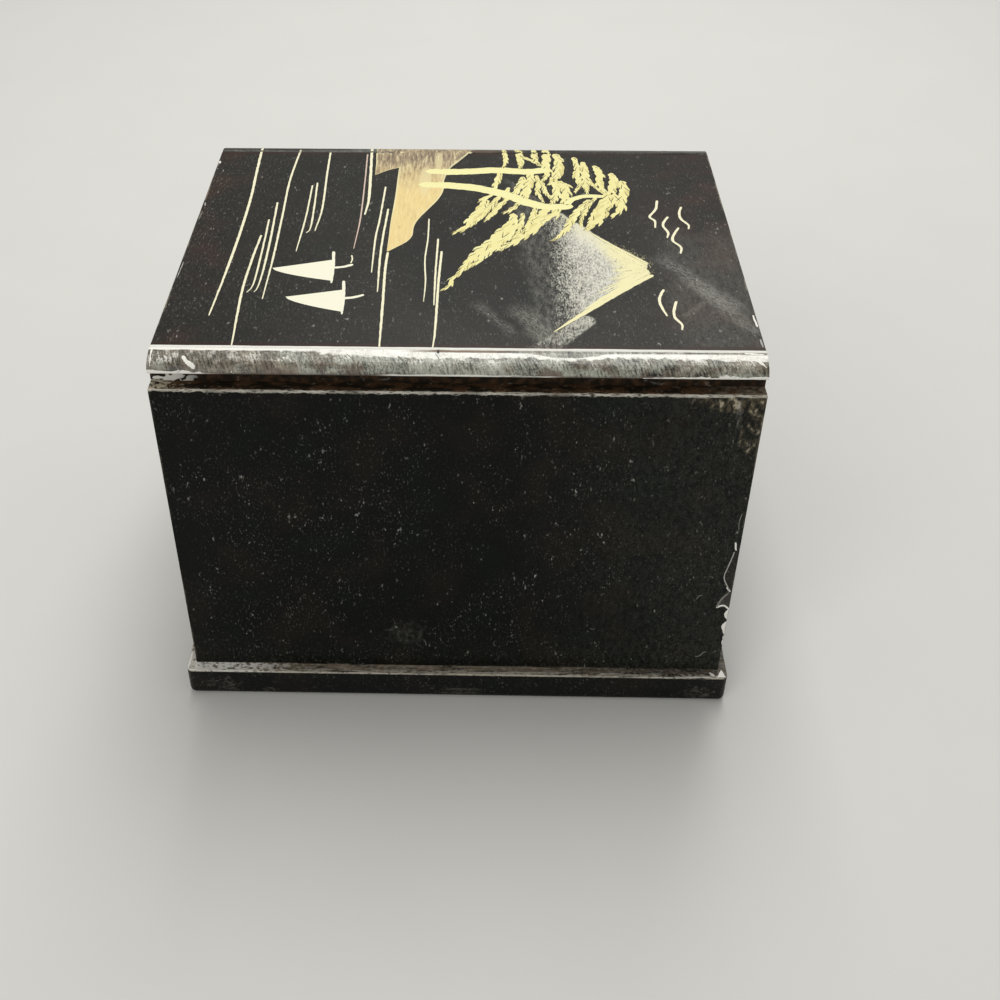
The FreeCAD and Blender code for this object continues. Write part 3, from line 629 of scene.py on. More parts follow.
def gold_material():
    """Pale gold paint laid on with a brush: thin and broken at the rim of each stroke."""
    coat = Coat("gold_paint", roughness=0.4)
    paint = coat.paint()
    coat.layer(0.16, paint)
    grit = coat.noise(0.3, 150, 3)
    worn = coat.noise(4.0, 151, 3).rise(0.58, 0.78) * 0.5
    load = coat.attribute("load")
    depth = coat.attribute("rim") * 1.5 + (grit - 0.5) * (2.6 - load * 1.5) + load - 1.0
    cover = (depth - worn).rise(0.06, 0.36)
    coat.layer(cover, paint, 0.45, lift=0.01)
    coat.layer(cover * grit.rise(0.58, 0.80) * 0.18, LEAF_BROWN, 0.5)
    return coat.finish(specular=0.25)


def wash_material():
    """Gold thinned with varnish: solid at the near end, brown and streaky towards the far one."""
    coat = Coat("gold_wash")
    streaks = coat.noise(0.42, 160, 4, (8, 1, 1), distortion=0.3)
    clouds = coat.noise(3.5, 161, 3, (2, 1, 1))
    grit = coat.noise(0.35, 162)
    depth = (coat.x + (clouds - 0.5) * 12.0).rise(-46.0, -22.0)
    cover = (coat.attribute("rim") * 3.0).rise(0.0, 0.4)
    base = coat.mix(depth, WASH_TAN, WASH_GOLD)
    coat.layer(cover, base, 0.42)
    thin = (streaks * 0.9 + clouds * 0.4 - depth * 0.28).rise(0.50, 0.82)
    coat.layer(thin * cover * 0.85, WASH_BROWN, 0.42)
    coat.layer((streaks * 0.6 + grit * 0.5).rise(0.54, 0.70) * cover * 0.16, WASH_BROWN, 0.5)
    bright = (streaks * 0.8 + grit * 0.3).rise(0.50, 0.40) * (0.85 - depth * 0.3)
    coat.layer(bright * cover * 0.7, LINE_GOLD, 0.4)
    for centre, reach, seed in (((-42.0, -6.4, TOP_HIGH.z), (6.0, 1.0, None), 165),
                                ((-40.0, -2.0, TOP_HIGH.z), (3.0, 0.6, None), 166),
                                ((-31.0, -9.5, TOP_HIGH.z), (9.0, 1.6, None), 167)):
        grass = patch(coat, centre, reach, seed, ragged=0.35, noise_size=1.2)
        coat.layer(grass * cover * (streaks.rise(0.3, 0.6) * 0.4 + 0.3), GRASS_GOLD, 0.42)
    edge = coat.attribute("rim").rise(0.36, 0.14) * cover
    coat.layer(edge * grit.rise(0.15, 0.4) * 0.85, LINE_GOLD, 0.42)
    return coat.finish(specular=0.4)


def smooth_path(points, step):
    """Fine path through given points, without corners."""
    knots = [Vector(point) for point in points]
    knots = [2 * knots[0] - knots[1], *knots, 2 * knots[-1] - knots[-2]]
    path = []
    for before, start, end, after in zip(knots, knots[1:], knots[2:], knots[3:]):
        count = max(2, round((end - start).length / step))
        for index in range(count):
            t = index / count
            bend = 2 * before - 5 * start + 4 * end - after
            twist = 3 * start - before - 3 * end + after
            path.append(0.5 * (2 * start + (end - before) * t + bend * t * t + twist * t ** 3))
    path.append(knots[-2])
    return path


def grid_faces(columns, rows, first=0):
    """Quads between rows + 1 lines of columns + 1 points each."""
    width = columns + 1
    corners = [first + row * width + column for row in range(rows) for column in range(columns)]
    return [(corner, corner + 1, corner + width + 1, corner + width) for corner in corners]


def make_mesh(name, vertices, faces, material, smooth=True):
    """Mesh of one material, from places in millimetres."""
    mesh = bpy.data.meshes.new(name)
    mesh.from_pydata([Vector(vertex) * MM for vertex in vertices], [], faces)
    mesh.polygons.foreach_set("use_smooth", [smooth] * len(faces))
    mesh.materials.append(material)
    return mesh


def put(name, data):
    """New object in the scene."""
    made = bpy.data.objects.new(name, data)
    bpy.context.scene.collection.objects.link(made)
    return made


def add_piece(name, mesh, body):
    piece = put(name, mesh)
    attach(piece, body)
    return piece


class Painting:
    """Strokes of paint on one face, gathered in one mesh. canvas places (across, up, lift)."""

    THICKNESS = 0.020
    # How deep the rim is sunk, and how fast the paint rises from it
    SUNK = 0.01
    RAMP = 2.2
    # How far a stroke's rounded ends reach beyond its path, in widths
    TIPS = (0.0, 0.12, 0.22)

    def __init__(self, canvas, level=0.0):
        self.canvas = canvas
        self.level = level
        self.vertices = []
        self.faces = []
        self.rims = []
        self.loads = []
        self.paints = []

    def band(self, lower, upper, paint, columns=6, load=1.0):
        """Paint between two edges with as many points; thin at the rim, thicker inside."""
        self.faces += grid_faces(columns, len(lower) - 1, len(self.vertices))
        for start, end in zip(lower, upper):
            for column in range(columns + 1):
                share = column / columns
                rim = 1 - (2 * share - 1) ** 2
                spot = start.lerp(end, share)
                full = min(1.0, self.RAMP * rim)
                lift = (self.THICKNESS + self.level) * full - self.SUNK * (1 - full)
                self.vertices.append(self.canvas(spot.x, spot.y, lift))
                self.rims.append(rim)
                self.loads.append(load)
                self.paints += (*paint, 1.0)

    def stroke(self, points, width, paint, rough=0.08, tail=0.5, load=1.0, seed=0, step=0.6,
               taper=0.3, entry=0.01):
        """One brush stroke: swells over entry, narrows to tail over taper, with wavering edges."""
        path = smooth_path(points, step)
        for end in (0, -1):
            beyond = path[end] - path[1 if end == 0 else -2]
            tips = [path[end] + beyond.normalized() * width * reach for reach in self.TIPS]
            path = tips[::-1] + path[1:] if end == 0 else path[:-1] + tips
        last = len(path) - 1
        lengths = [0.0]
        for before, after in zip(path, path[1:]):
            lengths.append(lengths[-1] + (after - before).length)
        lower, upper = [], []
        for index, spot in enumerate(path):
            ahead = path[min(index + 1, last)] - path[max(index - 1, 0)]
            normal = Vector((-ahead.y, ahead.x)).normalized()
            share = index / last
            nearest = min(lengths[index], lengths[-1] - lengths[index]) / (width * 0.5)
            cap = math.sqrt(max(0.0, 1 - (1 - min(1.0, nearest)) ** 2))
            narrow = min(1.0, (1 - share) / taper * (1 - tail) + tail, share / entry + 0.1)
            half = width / 2 * max(0.08, cap) * narrow
            for edge, side in ((lower, -1), (upper, 1)):
                waver = noise.noise(Vector((spot.x * 0.9, spot.y * 0.9, seed + side * 9.0)))
                edge.append(spot + normal * side * half * (1 + rough * 4 * waver))
        self.band(lower, upper, paint, load=load)

    def strokes(self, rows, seed, paint, **style):
        """A stroke for each row of points and width, and of paint where a row has its own."""
        for index, (points, width, *own) in enumerate(rows):
            self.stroke(points, width, *(own or [paint]), seed=seed + index, **style)

    def bough(self, points, width, seed):
        """Broad flat body whose edges are toothed by short blades, with a few thin slits."""
        chance = random.Random(seed)
        self.level = 0.0
        self.stroke(points, width, LEAF_BRIGHT, rough=0.12, tail=0.25, taper=0.5, entry=0.06,
                    load=1.5, seed=seed)
        path = smooth_path(points, step=0.2)
        last = len(path) - 1
        place = 0.0
        side = 1
        while place < last:
            index = int(place)
            ahead = (path[min(index + 1, last)] - path[max(index - 1, 0)]).normalized()
            across = Vector((-ahead.y, ahead.x)) * side
            share = index / last
            reach = width / 2 * min(1.0, 0.45 + share * 4, 0.30 + (1 - share) * 1.6)
            start = path[index] + across * reach * 0.3
            end = start + ahead * chance.uniform(1.5, 2.6) * (reach + 0.4)
            end = end + across * reach * chance.uniform(0.45, 0.90)
            bow = start.lerp(end, 0.5) + across * reach * 0.25
            paint = chance.choice((LEAF_BRIGHT, LEAF_BRIGHT, LEAF_BRIGHT, LEAF_GOLD, TRUNK_GOLD))
            self.level = 0.003 + 0.009 * share
            blade = chance.uniform(0.7, 1.1) * (reach + 0.15)
            self.stroke((start, bow, end), blade, paint, tail=0.05, taper=0.6, entry=0.3,
                        load=chance.uniform(1.2, 1.6), seed=seed + index, step=0.4)
            if chance.random() < 0.45:
                self.level = 0.014
                inner = start.lerp(end, 0.15) - across * reach * 0.25
                outer = end + across * reach * 0.15
                self.stroke((inner, inner.lerp(outer, 0.5), outer), chance.uniform(0.18, 0.30),
                            chance.choice((SLIT, SLIT, LEAF_BROWN)), tail=0.6, entry=0.5, load=1.5,
                            seed=seed + index, step=0.4)
            side = -side
            place += chance.uniform(0.7, 1.5) * (reach + 0.4) / 0.2
        self.level = 0.0

    def piece(self, name, material, body="case", slot="gold_paint"):
        mesh = make_mesh(name, self.vertices, self.faces, material)
        for label, values in (("rim", self.rims), ("load", self.loads)):
            mesh.attributes.new(label, "FLOAT", "POINT").data.foreach_set("value", values)
        mesh.attributes.new("paint", "FLOAT_COLOR", "POINT").data.foreach_set("color", self.paints)
        add_piece(name, mesh, body)


def surface_below(nodes):
    """Height of the topmost of these CAD nodes at (x, y)."""
    graph = bpy.context.evaluated_depsgraph_get()
    trees = [BVHTree.FromObject(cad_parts[node], graph) for node in nodes]
    start = (TOP_HIGH.z + 10) * MM

    def height(x, y):
        inward = max(min(y, BACK_END - 0.2), FRONT_END + 0.2)
        above = Vector((x * MM, inward * MM, start))
        hits = [tree.ray_cast(above, DOWN) for tree in trees]
        return max((hit[0].z / MM for hit in hits if hit[0] is not None), default=TOP_HIGH.z)

    return height


height_of_top = surface_below(("top_board", "roll_left", "roll_right"))


def top_canvas(across, up, lift):
    return Vector((across, up, height_of_top(across, up) + lift))


moulding = BVHTree.FromObject(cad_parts["roll_right"],
                              bpy.context.evaluated_depsgraph_get())


def roll_canvas(across, up, lift):
    """Place on the right-hand moulding: across is along Y, up is how far round it."""
    reach = ROLL_HIGH.x - FLAT_EDGE
    turn = math.radians(90 * up / reach)
    outward = Vector((math.sin(turn), 0, math.cos(turn)))
    middle = Vector((FLAT_EDGE, max(min(across, BACK_END - 0.1), FRONT_END + 0.1), LIP + 0.2))
    hit = moulding.ray_cast((middle + outward * 2 * reach) * MM, -outward)
    spot = hit[0] / MM if hit[0] is not None else middle + outward * reach
    return Vector((spot.x, across, spot.z)) + outward * lift


# The painted scene, seen upright by someone at the drawers' side: across, then up, and each
# stroke's width. Patches of gold wash have their upper line first, then the lower one.
HEADLAND = (
    ((-50.6, 4.0), (-47.4, 2.3), (-42, -0.6), (-37.6, -2.9), (-31, -4.2), (-25, -4.3),
     (-20, -5.6), (-15, -7.8), (-10, -10.0), (-6, -11.0), (-1.5, -11.2), (1.5, -12.4),
     (4, -14.6), (6.2, -16.6)),
    ((-50.6, -17.1), (-38, -17.1), (-20, -17.1), (-5, -17.2), (6.2, -17.0)),
)
NEAR_SHORE = (
    ((-50.6, -14.2), (-42, -14.2), (-39.2, -14.6), (-36.6, -19.0), (-33.8, -22.2)),
    ((-50.6, -23.4), (-45, -23.2), (-38, -22.7), (-33.8, -22.4)),
)
RIPPLES = (
    (((-50.5, -53.3), (-35, -52.8), (-20, -52.2), (0, -52.2), (20, -52.7), (35, -53.3)), 0.70),
    (((-48.5, -43.0), (-30, -43.7), (-10, -43.2), (10, -42.8), (28, -42.8)), 0.55),
    (((-18, -45.3), (0, -44.6), (15, -44.3), (23, -44.5), (25, -45.0)), 0.55),
    (((-9, -46.2), (5, -45.8), (18, -45.6), (23, -45.8), (25.2, -46.6)), 0.50),
    (((-1, -47.0), (10, -47.5), (25, -47.7), (47.3, -46.6)), 0.60),
    (((-27.5, -37.7), (-10, -37.5), (6.5, -37.9)), 0.45),
    (((-29, -36.6), (-15, -36.0), (-5, -35.8), (-2.5, -36.5)), 0.50),
    (((-48.0, -35.0), (-35, -34.7), (-15, -34.0), (-3.5, -34.6)), 0.55),
    (((-50.5, -24.3), (-35, -23.6), (-20, -23.0), (-12, -23.4)), 0.80),
    (((-46, -25.2), (-30, -24.7), (-10, -24.3), (5, -24.7)), 0.40, ROSE_GOLD),
    (((8.2, -24.9), (10, -24.6), (11.8, -24.8)), 0.40),
    (((-27, -19.3), (-10, -19.6), (0, -20.0), (16, -19.8)), 0.50),
    (((-15, -17.9), (0, -18.3), (10, -18.3), (24.5, -17.9)), 0.55),
    (((6.7, -16.7), (15, -16.8), (30, -16.4), (47.3, -16.0)), 0.65),
    (((-10, -7.8), (0, -7.7), (10, -8.0), (20, -7.5), (28.5, -7.6)), 0.40),
    (((6, -4.3), (20, -4.6), (40, -4.7), (47.3, -5.0)), 0.60),
    (((0, -5.3), (15, -5.4), (30, -5.3)), 0.50),
)
BIRDS = (
    ((-20.5, 47.8), (-16, 47.0), (-12, 45.2), (-10, 46.2), (-6.5, 46.0)),
    ((-17.2, 53.3), (-14, 52.5), (-11, 52.6), (-8, 54.0), (-6, 53.8)),
    ((-12, 49.5), (-9, 48.2), (-7, 48.0), (-4, 48.8), (-1.5, 48.3)),
    ((-6.5, 51.5), (-3, 50.0), (0, 49.5), (3, 51.0), (6, 50.6)),
    ((22.5, 45.0), (26, 43.8), (29, 43.7), (33.5, 44.6)),
    ((27.5, 47.2), (31, 46.4), (34, 46.2), (37, 47.4), (39, 47.2)),
)
TRUNKS = (
    (((-28.5, -10.5), (-28.0, -3), (-26.5, 4), (-23, 11), (-18.7, 16.5), (-16.8, 21),
      (-17.2, 26.3)), 3.7),
    (((-36.0, -9.0), (-36.0, 0), (-37.0, 8), (-36.3, 16), (-37.3, 21)), 3.6),
    (((-18.2, 25.6), (-20.8, 27), (-22.6, 30), (-22.7, 34.5)), 1.9),
)
BOUGHS = (
    (((-31.0, 39.8), (-26, 40.1), (-20, 39.0), (-15.5, 38.4), (-12, 36.2)), 2.3),
    (((-35.5, 37.6), (-31, 38.0), (-26, 37.2), (-21, 37.3), (-17, 36.0), (-14.5, 34.8)), 2.0),
    (((-39.8, 33.6), (-35, 34.7), (-30, 34.3), (-25, 35.3)), 1.9),
    (((-33.0, 31.6), (-29, 32.6), (-24.3, 34.8)), 0.8),
    (((-42.0, 30.6), (-37, 31.0), (-32, 30.9), (-24, 30.9)), 1.7),
    (((-44.8, 28.6), (-39, 29.1), (-34, 28.8), (-29, 29.3), (-25, 28.0)), 1.5),
    (((-25.0, 36.2), (-20, 35.5), (-15, 34.2), (-11, 33.2), (-8, 31.3), (-5.2, 29.8)), 2.8),
    (((-19.0, 34.0), (-14, 32.2), (-10, 31.0), (-6.5, 30.2)), 1.2),
    (((-21.8, 32.8), (-18, 31.0), (-14, 29.7), (-10, 28.7), (-7, 28.6)), 1.1),
    (((-20.5, 31.2), (-15, 28.3), (-10, 26.4), (-6, 25.2), (-2, 23.2), (0.3, 21.4)), 1.7),
    (((-47.0, 23.9), (-43, 24.5), (-38, 24.3), (-33, 23.6), (-29, 21.8)), 2.2),
    (((-50.6, 21.3), (-45, 21.5), (-40, 21.2), (-36, 21.5), (-31, 20.2)), 2.0),
    (((-50.6, 18.3), (-45, 18.5), (-40, 19.3)), 1.5),
    (((-45.6, 14.8), (-42.5, 17.8), (-39.5, 20.2)), 1.0),
    (((-50.6, 13.8), (-45, 14.7), (-38.5, 14.6)), 1.7),
    (((-50.2, 10.4), (-43, 10.9), (-38.5, 10.2)), 1.1),
    (((-35.3, 9.4), (-31, 8.7), (-26, 7.8)), 1.5),
    (((-30.5, 24.0), (-28, 25.6), (-23, 25.6), (-19, 24.6)), 2.2),
    (((-33.0, 22.6), (-28, 23.4), (-22, 22.9), (-18, 21.8)), 2.0),
    (((-30.0, 20.0), (-25, 20.6), (-20, 22.4)), 1.0),
    (((-34.0, 18.6), (-30, 19.0), (-25, 18.7), (-19.5, 19.8)), 1.2),
    (((-35.0, 17.3), (-30, 16.7), (-25, 15.8), (-20.5, 15.4)), 2.2),
    (((-33.0, 15.2), (-28, 14.2), (-24, 12.9), (-21.5, 12.2)), 1.7),
    (((-27.0, 11.4), (-24, 11.0), (-21, 10.4)), 1.2),
    (((-18.5, 13.8), (-15.5, 12.2), (-13.3, 10.2)), 1.3),
    (((-21.0, 11.2), (-17, 9.0), (-12, 7.0), (-9.0, 5.5)), 1.3),
    (((-22.0, 9.0), (-17, 7.0), (-12, 4.8), (-7.5, 3.0)), 1.5),
    (((-20.0, 5.9), (-15, 4.4), (-10, 2.4), (-6, 1.3), (-4, -0.4)), 2.2),
    (((-6.5, 1.0), (-4.5, -0.4), (-2.8, -1.8)), 1.0),
    (((-22.8, 7.2), (-21, 5.4), (-19.8, 4.3)), 1.2),
    (((-16.5, 23.4), (-13.5, 22.6), (-11.5, 21.0), (-9, 19.6)), 2.0),
    (((-16, 20.6), (-11, 18.8), (-7, 17.9), (-3.5, 15.8), (0.5, 13.0), (2.7, 11.0), (5, 9.2)), 2.4),
    (((-16.5, 18.0), (-12, 17.2), (-8, 16.2), (-4, 14.9), (-0.5, 12.8)), 1.3),
    (((-13.2, 14.8), (-9, 14.4), (-4, 13.6), (0, 12.0)), 1.1),
    (((-12.8, 12.5), (-9, 12.3), (-5, 10.4), (0, 7.9), (5, 4.8), (10, 2.3), (17.2, -0.5)), 2.5),
    (((-8, 13.0), (-4, 11.8), (0, 10.2), (5, 7.3), (10, 4.4), (13.5, 2.0)), 1.8),
    (((16.5, -0.1), (18.4, -1.6), (20.8, -1.9), (22.3, -2.7), (23.8, -4.0)), 0.9),
)
# The mountain's outlines also have a load of paint
MOUNTAIN = (
    (((16.2, 43.1), (19.2, 39.9), (26, 33.3), (33, 26.7), (40.3, 20.3)), 1.3, 1.0),
    (((14.6, 42.3), (18, 39.2), (24, 33.8), (31, 27.4)), 1.5, 0.95),
    (((10.3, 42.1), (5.6, 38.0), (0.6, 33.7), (-4.4, 29.8)), 0.8, 0.55),
    (((12.4, 42.0), (8.0, 38.6), (3.5, 34.6)), 1.1, 0.65),
)


def slope_strokes(painting):
    """Half-dry strokes dragged down from the peak between its slopes, shortest in the middle."""
    chance = random.Random(12)
    count = 30
    for index in range(count):
        share = index / (count - 1)
        side = 2 * share - 1
        steep = 0.5 + 0.5 * abs(side)
        aim = Vector((side * 1.05, -(0.78 if side < 0 else 0.98) / steep)).normalized()
        peak = Vector((13.4 + side * 1.2, 42.2 - (1 - abs(side)) * 0.8))
        start = peak + aim * chance.uniform(0.0, 4.5)
        length = (3.5 + 11.0 * abs(side) ** (2.2 if side < 0 else 1.4)) * chance.uniform(0.5, 1.0)
        run = aim * length
        bend = start + run * 0.5 + Vector((0, chance.uniform(-0.3, 0.3)))
        painting.level = 0.010 * share
        painting.stroke((start, bend, start + run), chance.uniform(0.45, 0.85), LINE_GOLD,
                        tail=0.15, taper=0.6, entry=0.25, load=chance.uniform(0.75, 1.0),
                        seed=200 + index)


def shore(name, upper, lower, material):
    """Patch of thin gold wash between two lines, with a crisp rim."""
    painting = Painting(top_canvas)
    count = 60
    edges = []
    for line in (lower, upper):
        path = smooth_path(line, step=0.3)
        edges.append([path[round(index * (len(path) - 1) / count)] for index in range(count + 1)])
    painting.band(edges[0], edges[1], WASH_GOLD, columns=16)
    painting.piece(name, material)


def boats(material):
    """Two sails, each hung from its yard and drawn to a point below, with the masthead above."""
    painting = Painting(top_canvas)
    count = 24
    for left, right, top, foot in ((9.8, 20.0, -28.7, (14.4, -42.5)),
                                   (23.2, 33.2, -25.2, (27.0, -38.0))):
        lower, upper = [], []
        for step in range(count + 1):
            share = step / count
            width = (right - left) * (1 - share) ** 0.78 + (0.0 if share == 1 else 0.25)
            lower.append(Vector((left, top)).lerp(Vector(foot), share))
            upper.append(lower[-1] + Vector((width, 0.15)))
        painting.level = 0.0
        painting.band(lower, upper, SAIL, columns=10, load=1.5)
        painting.level = 0.012
        yard = ((left - 3.2, top - 0.5), (left + 3, top), (right + 0.8, top + 0.3))
        painting.stroke(yard, 0.75, SAIL, load=1.5)
        painting.level = 0.005
        middle = left + 4.2
        mast = ((middle, top), (middle - 0.4, top + 2.2), (middle - 1.5, top + 4.3))
        painting.stroke(mast, 0.95, SAIL, tail=0.9, load=1.4)
    painting.piece("painted_boats", material)


def painted(name, rows, seed, material, canvas=top_canvas, level=0.0, slot="gold_paint", **style):
    """Piece with one stroke for each row."""
    painting = Painting(canvas, level)
    painting.strokes(rows, seed, **style)
    painting.piece(name, material, slot=slot)


def painted_scene():
    gold = gold_material()
    wash = wash_material()
    shore("painted_headland", *HEADLAND, wash)
    shore("painted_shore", *NEAR_SHORE, wash)
    painted("painted_ripples", RIPPLES, 0, gold, paint=PALE_GOLD)
    painted("painted_birds", [(points, 0.70) for points in BIRDS], 40, gold, paint=PALE_GOLD)
    pines = Painting(top_canvas)
    for index, (points, width) in enumerate(BOUGHS):
        pines.bough(points, width, seed=80 + index)
    pines.piece("painted_boughs", gold)
    painted("painted_trunks", TRUNKS, 140, gold, level=0.015, paint=TRUNK_GOLD, rough=0.04,
            tail=0.85, entry=0.05, load=1.3)
    mountain = Painting(top_canvas)
    slope_strokes(mountain)
    mountain.level = 0.012
    for index, (points, width, load) in enumerate(MOUNTAIN):
        mountain.stroke(points, width, LINE_GOLD, tail=0.15, load=load, seed=160 + index)
    mountain.piece("painted_slopes", gold)
    boats(gold)


def chip_material():
    """Pale ground and lifted lacquer at the chips, in the colour of each chip."""
    coat = Coat("chipped_lacquer", roughness=0.6)
    coat.colour = coat.paint()
    grit = coat.noise(0.35, 170, 3)
    coat.layer(grit.rise(0.52, 0.72) * 0.3, GREY_BROWN)
    coat.height = (grit - 0.5) * 0.06
    return coat.finish(specular=0.3)


# Chips along the back end of the right-hand side: along Y, then up, the width, and the colour of
# those that don't show the ground
SIDE_CHIPS = (
    (((62.3, 49.0), (62.7, 46.8)), 0.45),
    (((62.4, 46.2), (62.0, 43.8), (61.6, 41.7), (61.1, 39.2), (61.4, 37.4), (62.3, 35.6),
      (62.9, 34.2)), 0.30, LINT),
    (((62.2, 35.4), (63.0, 34.2)), 0.55),
    (((62.9, 33.9), (61.4, 31.8), (60.5, 29.3)), 0.30, LINT),
    (((62.6, 57.4), (62.3, 55.0), (62.5, 52.8)), 0.20, DUST),
    (((55.6, 31.5), (56.1, 32.5), (56.8, 32.9)), 0.20, DUST),
    (((57.6, 12.6), (58.6, 12.9), (59.2, 13.9), (60.0, 14.3)), 0.28, DUST),
)
# Where the ground shows at that end: the chip's inner edge, up along Z
SIDE_SCALLOPS = (
    ((63.40, 28.6), (62.75, 27.6), (62.60, 26.7), (62.95, 25.8), (63.42, 25.2)),
    ((63.40, 24.6), (62.55, 23.4), (62.50, 22.5), (62.95, 21.4), (63.10, 20.8), (63.42, 20.2)),
    ((63.42, 20.0), (63.20, 19.2), (63.34, 18.6), (63.15, 17.7), (63.30, 17.1), (63.44, 16.5)),
)
# Along the right-hand moulding: along Y, then round it from its inner edge
ROLL_CHIPS = (
    (((-56.2, 3.1), (-55.2, 3.9), (-53.7, 4.8)), 0.85),
    (((-50.4, 1.8), (-49.8, 2.5)), 0.45, LINT),
    (((-38.5, 1.4), (-37.0, 2.6), (-34.4, 4.2), (-33.0, 5.0)), 0.30, DUST),
    (((-35.5, 1.8), (-33.5, 3.2), (-31.8, 4.8)), 0.22, LINT),
    (((-31.5, 1.5), (-29.6, 3.4), (-28.4, 4.9)), 0.28, DUST),
    (((-22.5, 2.2), (-21.0, 3.6), (-20.6, 4.9)), 0.30, DUST),
    (((-20.4, 2.4), (-19.6, 3.4), (-19.9, 4.4)), 0.20, LINT),
    (((-12.0, 2.6), (-10.6, 3.8), (-9.6, 5.1)), 0.28, DUST),
    (((-4.4, 1.8), (-3.6, 3.2), (-4.0, 4.2), (-3.4, 5.0)), 0.34, LINT),
    (((-46.0, 5.3), (-45.3, 5.8)), 0.40),
    (((38.0, 5.7), (43.0, 5.6), (48.0, 5.5), (53.0, 5.6), (58.0, 5.5), (63.0, 5.3)), 0.36),
    (((50.4, 5.4), (50.8, 6.0)), 0.45),
    (((-8.0, 5.9), (0.0, 5.8), (8.0, 5.7), (14.0, 5.5), (20.0, 5.8)), 0.24, LINT),
    (((57.5, 1.4), (59.5, 1.9), (61.0, 2.6), (62.9, 4.0)), 0.60),
    (((59.0, 0.6), (62.8, 1.0)), 0.50),
    (((-62.9, 0.6), (-62.9, 2.6), (-62.8, 4.6)), 0.40),
)
# On the top's front and back edges, seen from above
RIM_CHIPS = (
    (((-41.2, -63.1), (-40.0, -63.1)), 0.55),
    (((-17.6, -63.0), (-16.0, -62.8)), 0.35, LINT),
    (((-13.0, -62.9), (-8.5, -63.1)), 0.22, DUST),
    (((33.0, 62.9), (37.5, 63.1)), 0.45),
    (((42.5, 63.0), (45.5, 63.1)), 0.35, LINT),
    (((12.0, -63.0), (19.0, -63.1)), 0.22, LINT),
)
# On the ledge of the base, seen from above
LEDGE_CHIPS = (
    (((55.5, 61.4), (56.4, 62.3)), 0.7),
    (((56.95, 55.5), (56.95, 61.8)), 0.25),
    (((56.9, -65.0), (57.0, -58.0), (56.9, -50.0)), 0.35),
    (((51.0, -65.1), (56.6, -65.2)), 0.45),
)
# The side's back end where the lacquer is thin, and a flake that stands off below it
THIN_STRIP = (((62.4, 46.4), (61.9, 43.0), (61.2, 39.4), (61.5, 37.2), (63.0, 34.4)),
              ((63.25, 46.4), (63.25, 43.0), (63.25, 39.4), (63.25, 37.2), (63.25, 34.4)))
FLAKE_ROOT = 34.0
FLAKE_SLOPE = 0.08


def points_of(*places):
    return [Vector(place) for place in places]


def side_canvas(across, up, lift):
    return Vector((SIDE_HIGH.x + 0.6 * lift, across, up))


def flake_canvas(across, up, lift):
    return Vector((SIDE_HIGH.x + lift + (FLAKE_ROOT - up) * FLAKE_SLOPE, across, up))


def ledge_canvas(across, up, lift):
    return Vector((across, up, LEDGE + lift))


def chips():
    """Chips and curls of lifted lacquer on the side, the moulding, the top's rim and the ledge."""
    material = chip_material()
    lacquer = "black_lacquer"
    side = Painting(side_canvas)
    edges = [smooth_path(line, step=0.5) for line in THIN_STRIP]
    count = min(len(edge) for edge in edges)
    side.band(edges[0][:count], edges[1][:count], THIN_BLACK)
    side.level = 0.010
    side.strokes(SIDE_CHIPS, 300, GESSO_AND_HIGHLIGHT, rough=0.15, tail=0.6)
    for line in SIDE_SCALLOPS:
        inner = smooth_path(line, step=0.3)
        side.band(inner, [Vector((BACK_END - 0.02, spot.y)) for spot in inner], GESSO_AND_HIGHLIGHT)
    side.piece("side_chips", material, slot=lacquer)
    flake = Painting(flake_canvas)
    flake.band(points_of((62.8, 33.9), (61.5, 31.6), (60.6, 29.3)),
               points_of((63.2, 33.9), (63.1, 31.6), (63.2, 29.4)), FLAKE_BLACK)
    flake.level = 0.02
    flake.stroke(((60.5, 29.3), (61.4, 29.9), (62.3, 29.9), (63.3, 29.0)), 0.55, GESSO_AND_HIGHLIGHT,
                 tail=0.8, entry=0.3, seed=320)
    flake.stroke(((62.7, 33.6), (61.4, 31.6), (60.6, 29.5)), 0.30, DUST, tail=0.9, seed=321)
    flake.piece("side_flake", material, slot=lacquer)
    painted("rim_chips", RIM_CHIPS, 330, material, slot=lacquer, paint=GESSO_AND_HIGHLIGHT, rough=0.25)
    painted("moulding_chips", ROLL_CHIPS, 340, material, roll_canvas, slot=lacquer, paint=GESSO_AND_HIGHLIGHT,
            rough=0.25, step=0.4)
    ledge = Painting(ledge_canvas)
    ledge.band(points_of((54.5, 64.2), (55.6, 63.6), (56.9, 62.8)),
               points_of((54.5, 64.4), (55.6, 64.8), (56.9, 65.1)), GESSO_AND_HIGHLIGHT)
    ledge.strokes(LEDGE_CHIPS, 360, GESSO_AND_HIGHLIGHT, rough=0.2)
    ledge.piece("ledge_chips", material, slot=lacquer)


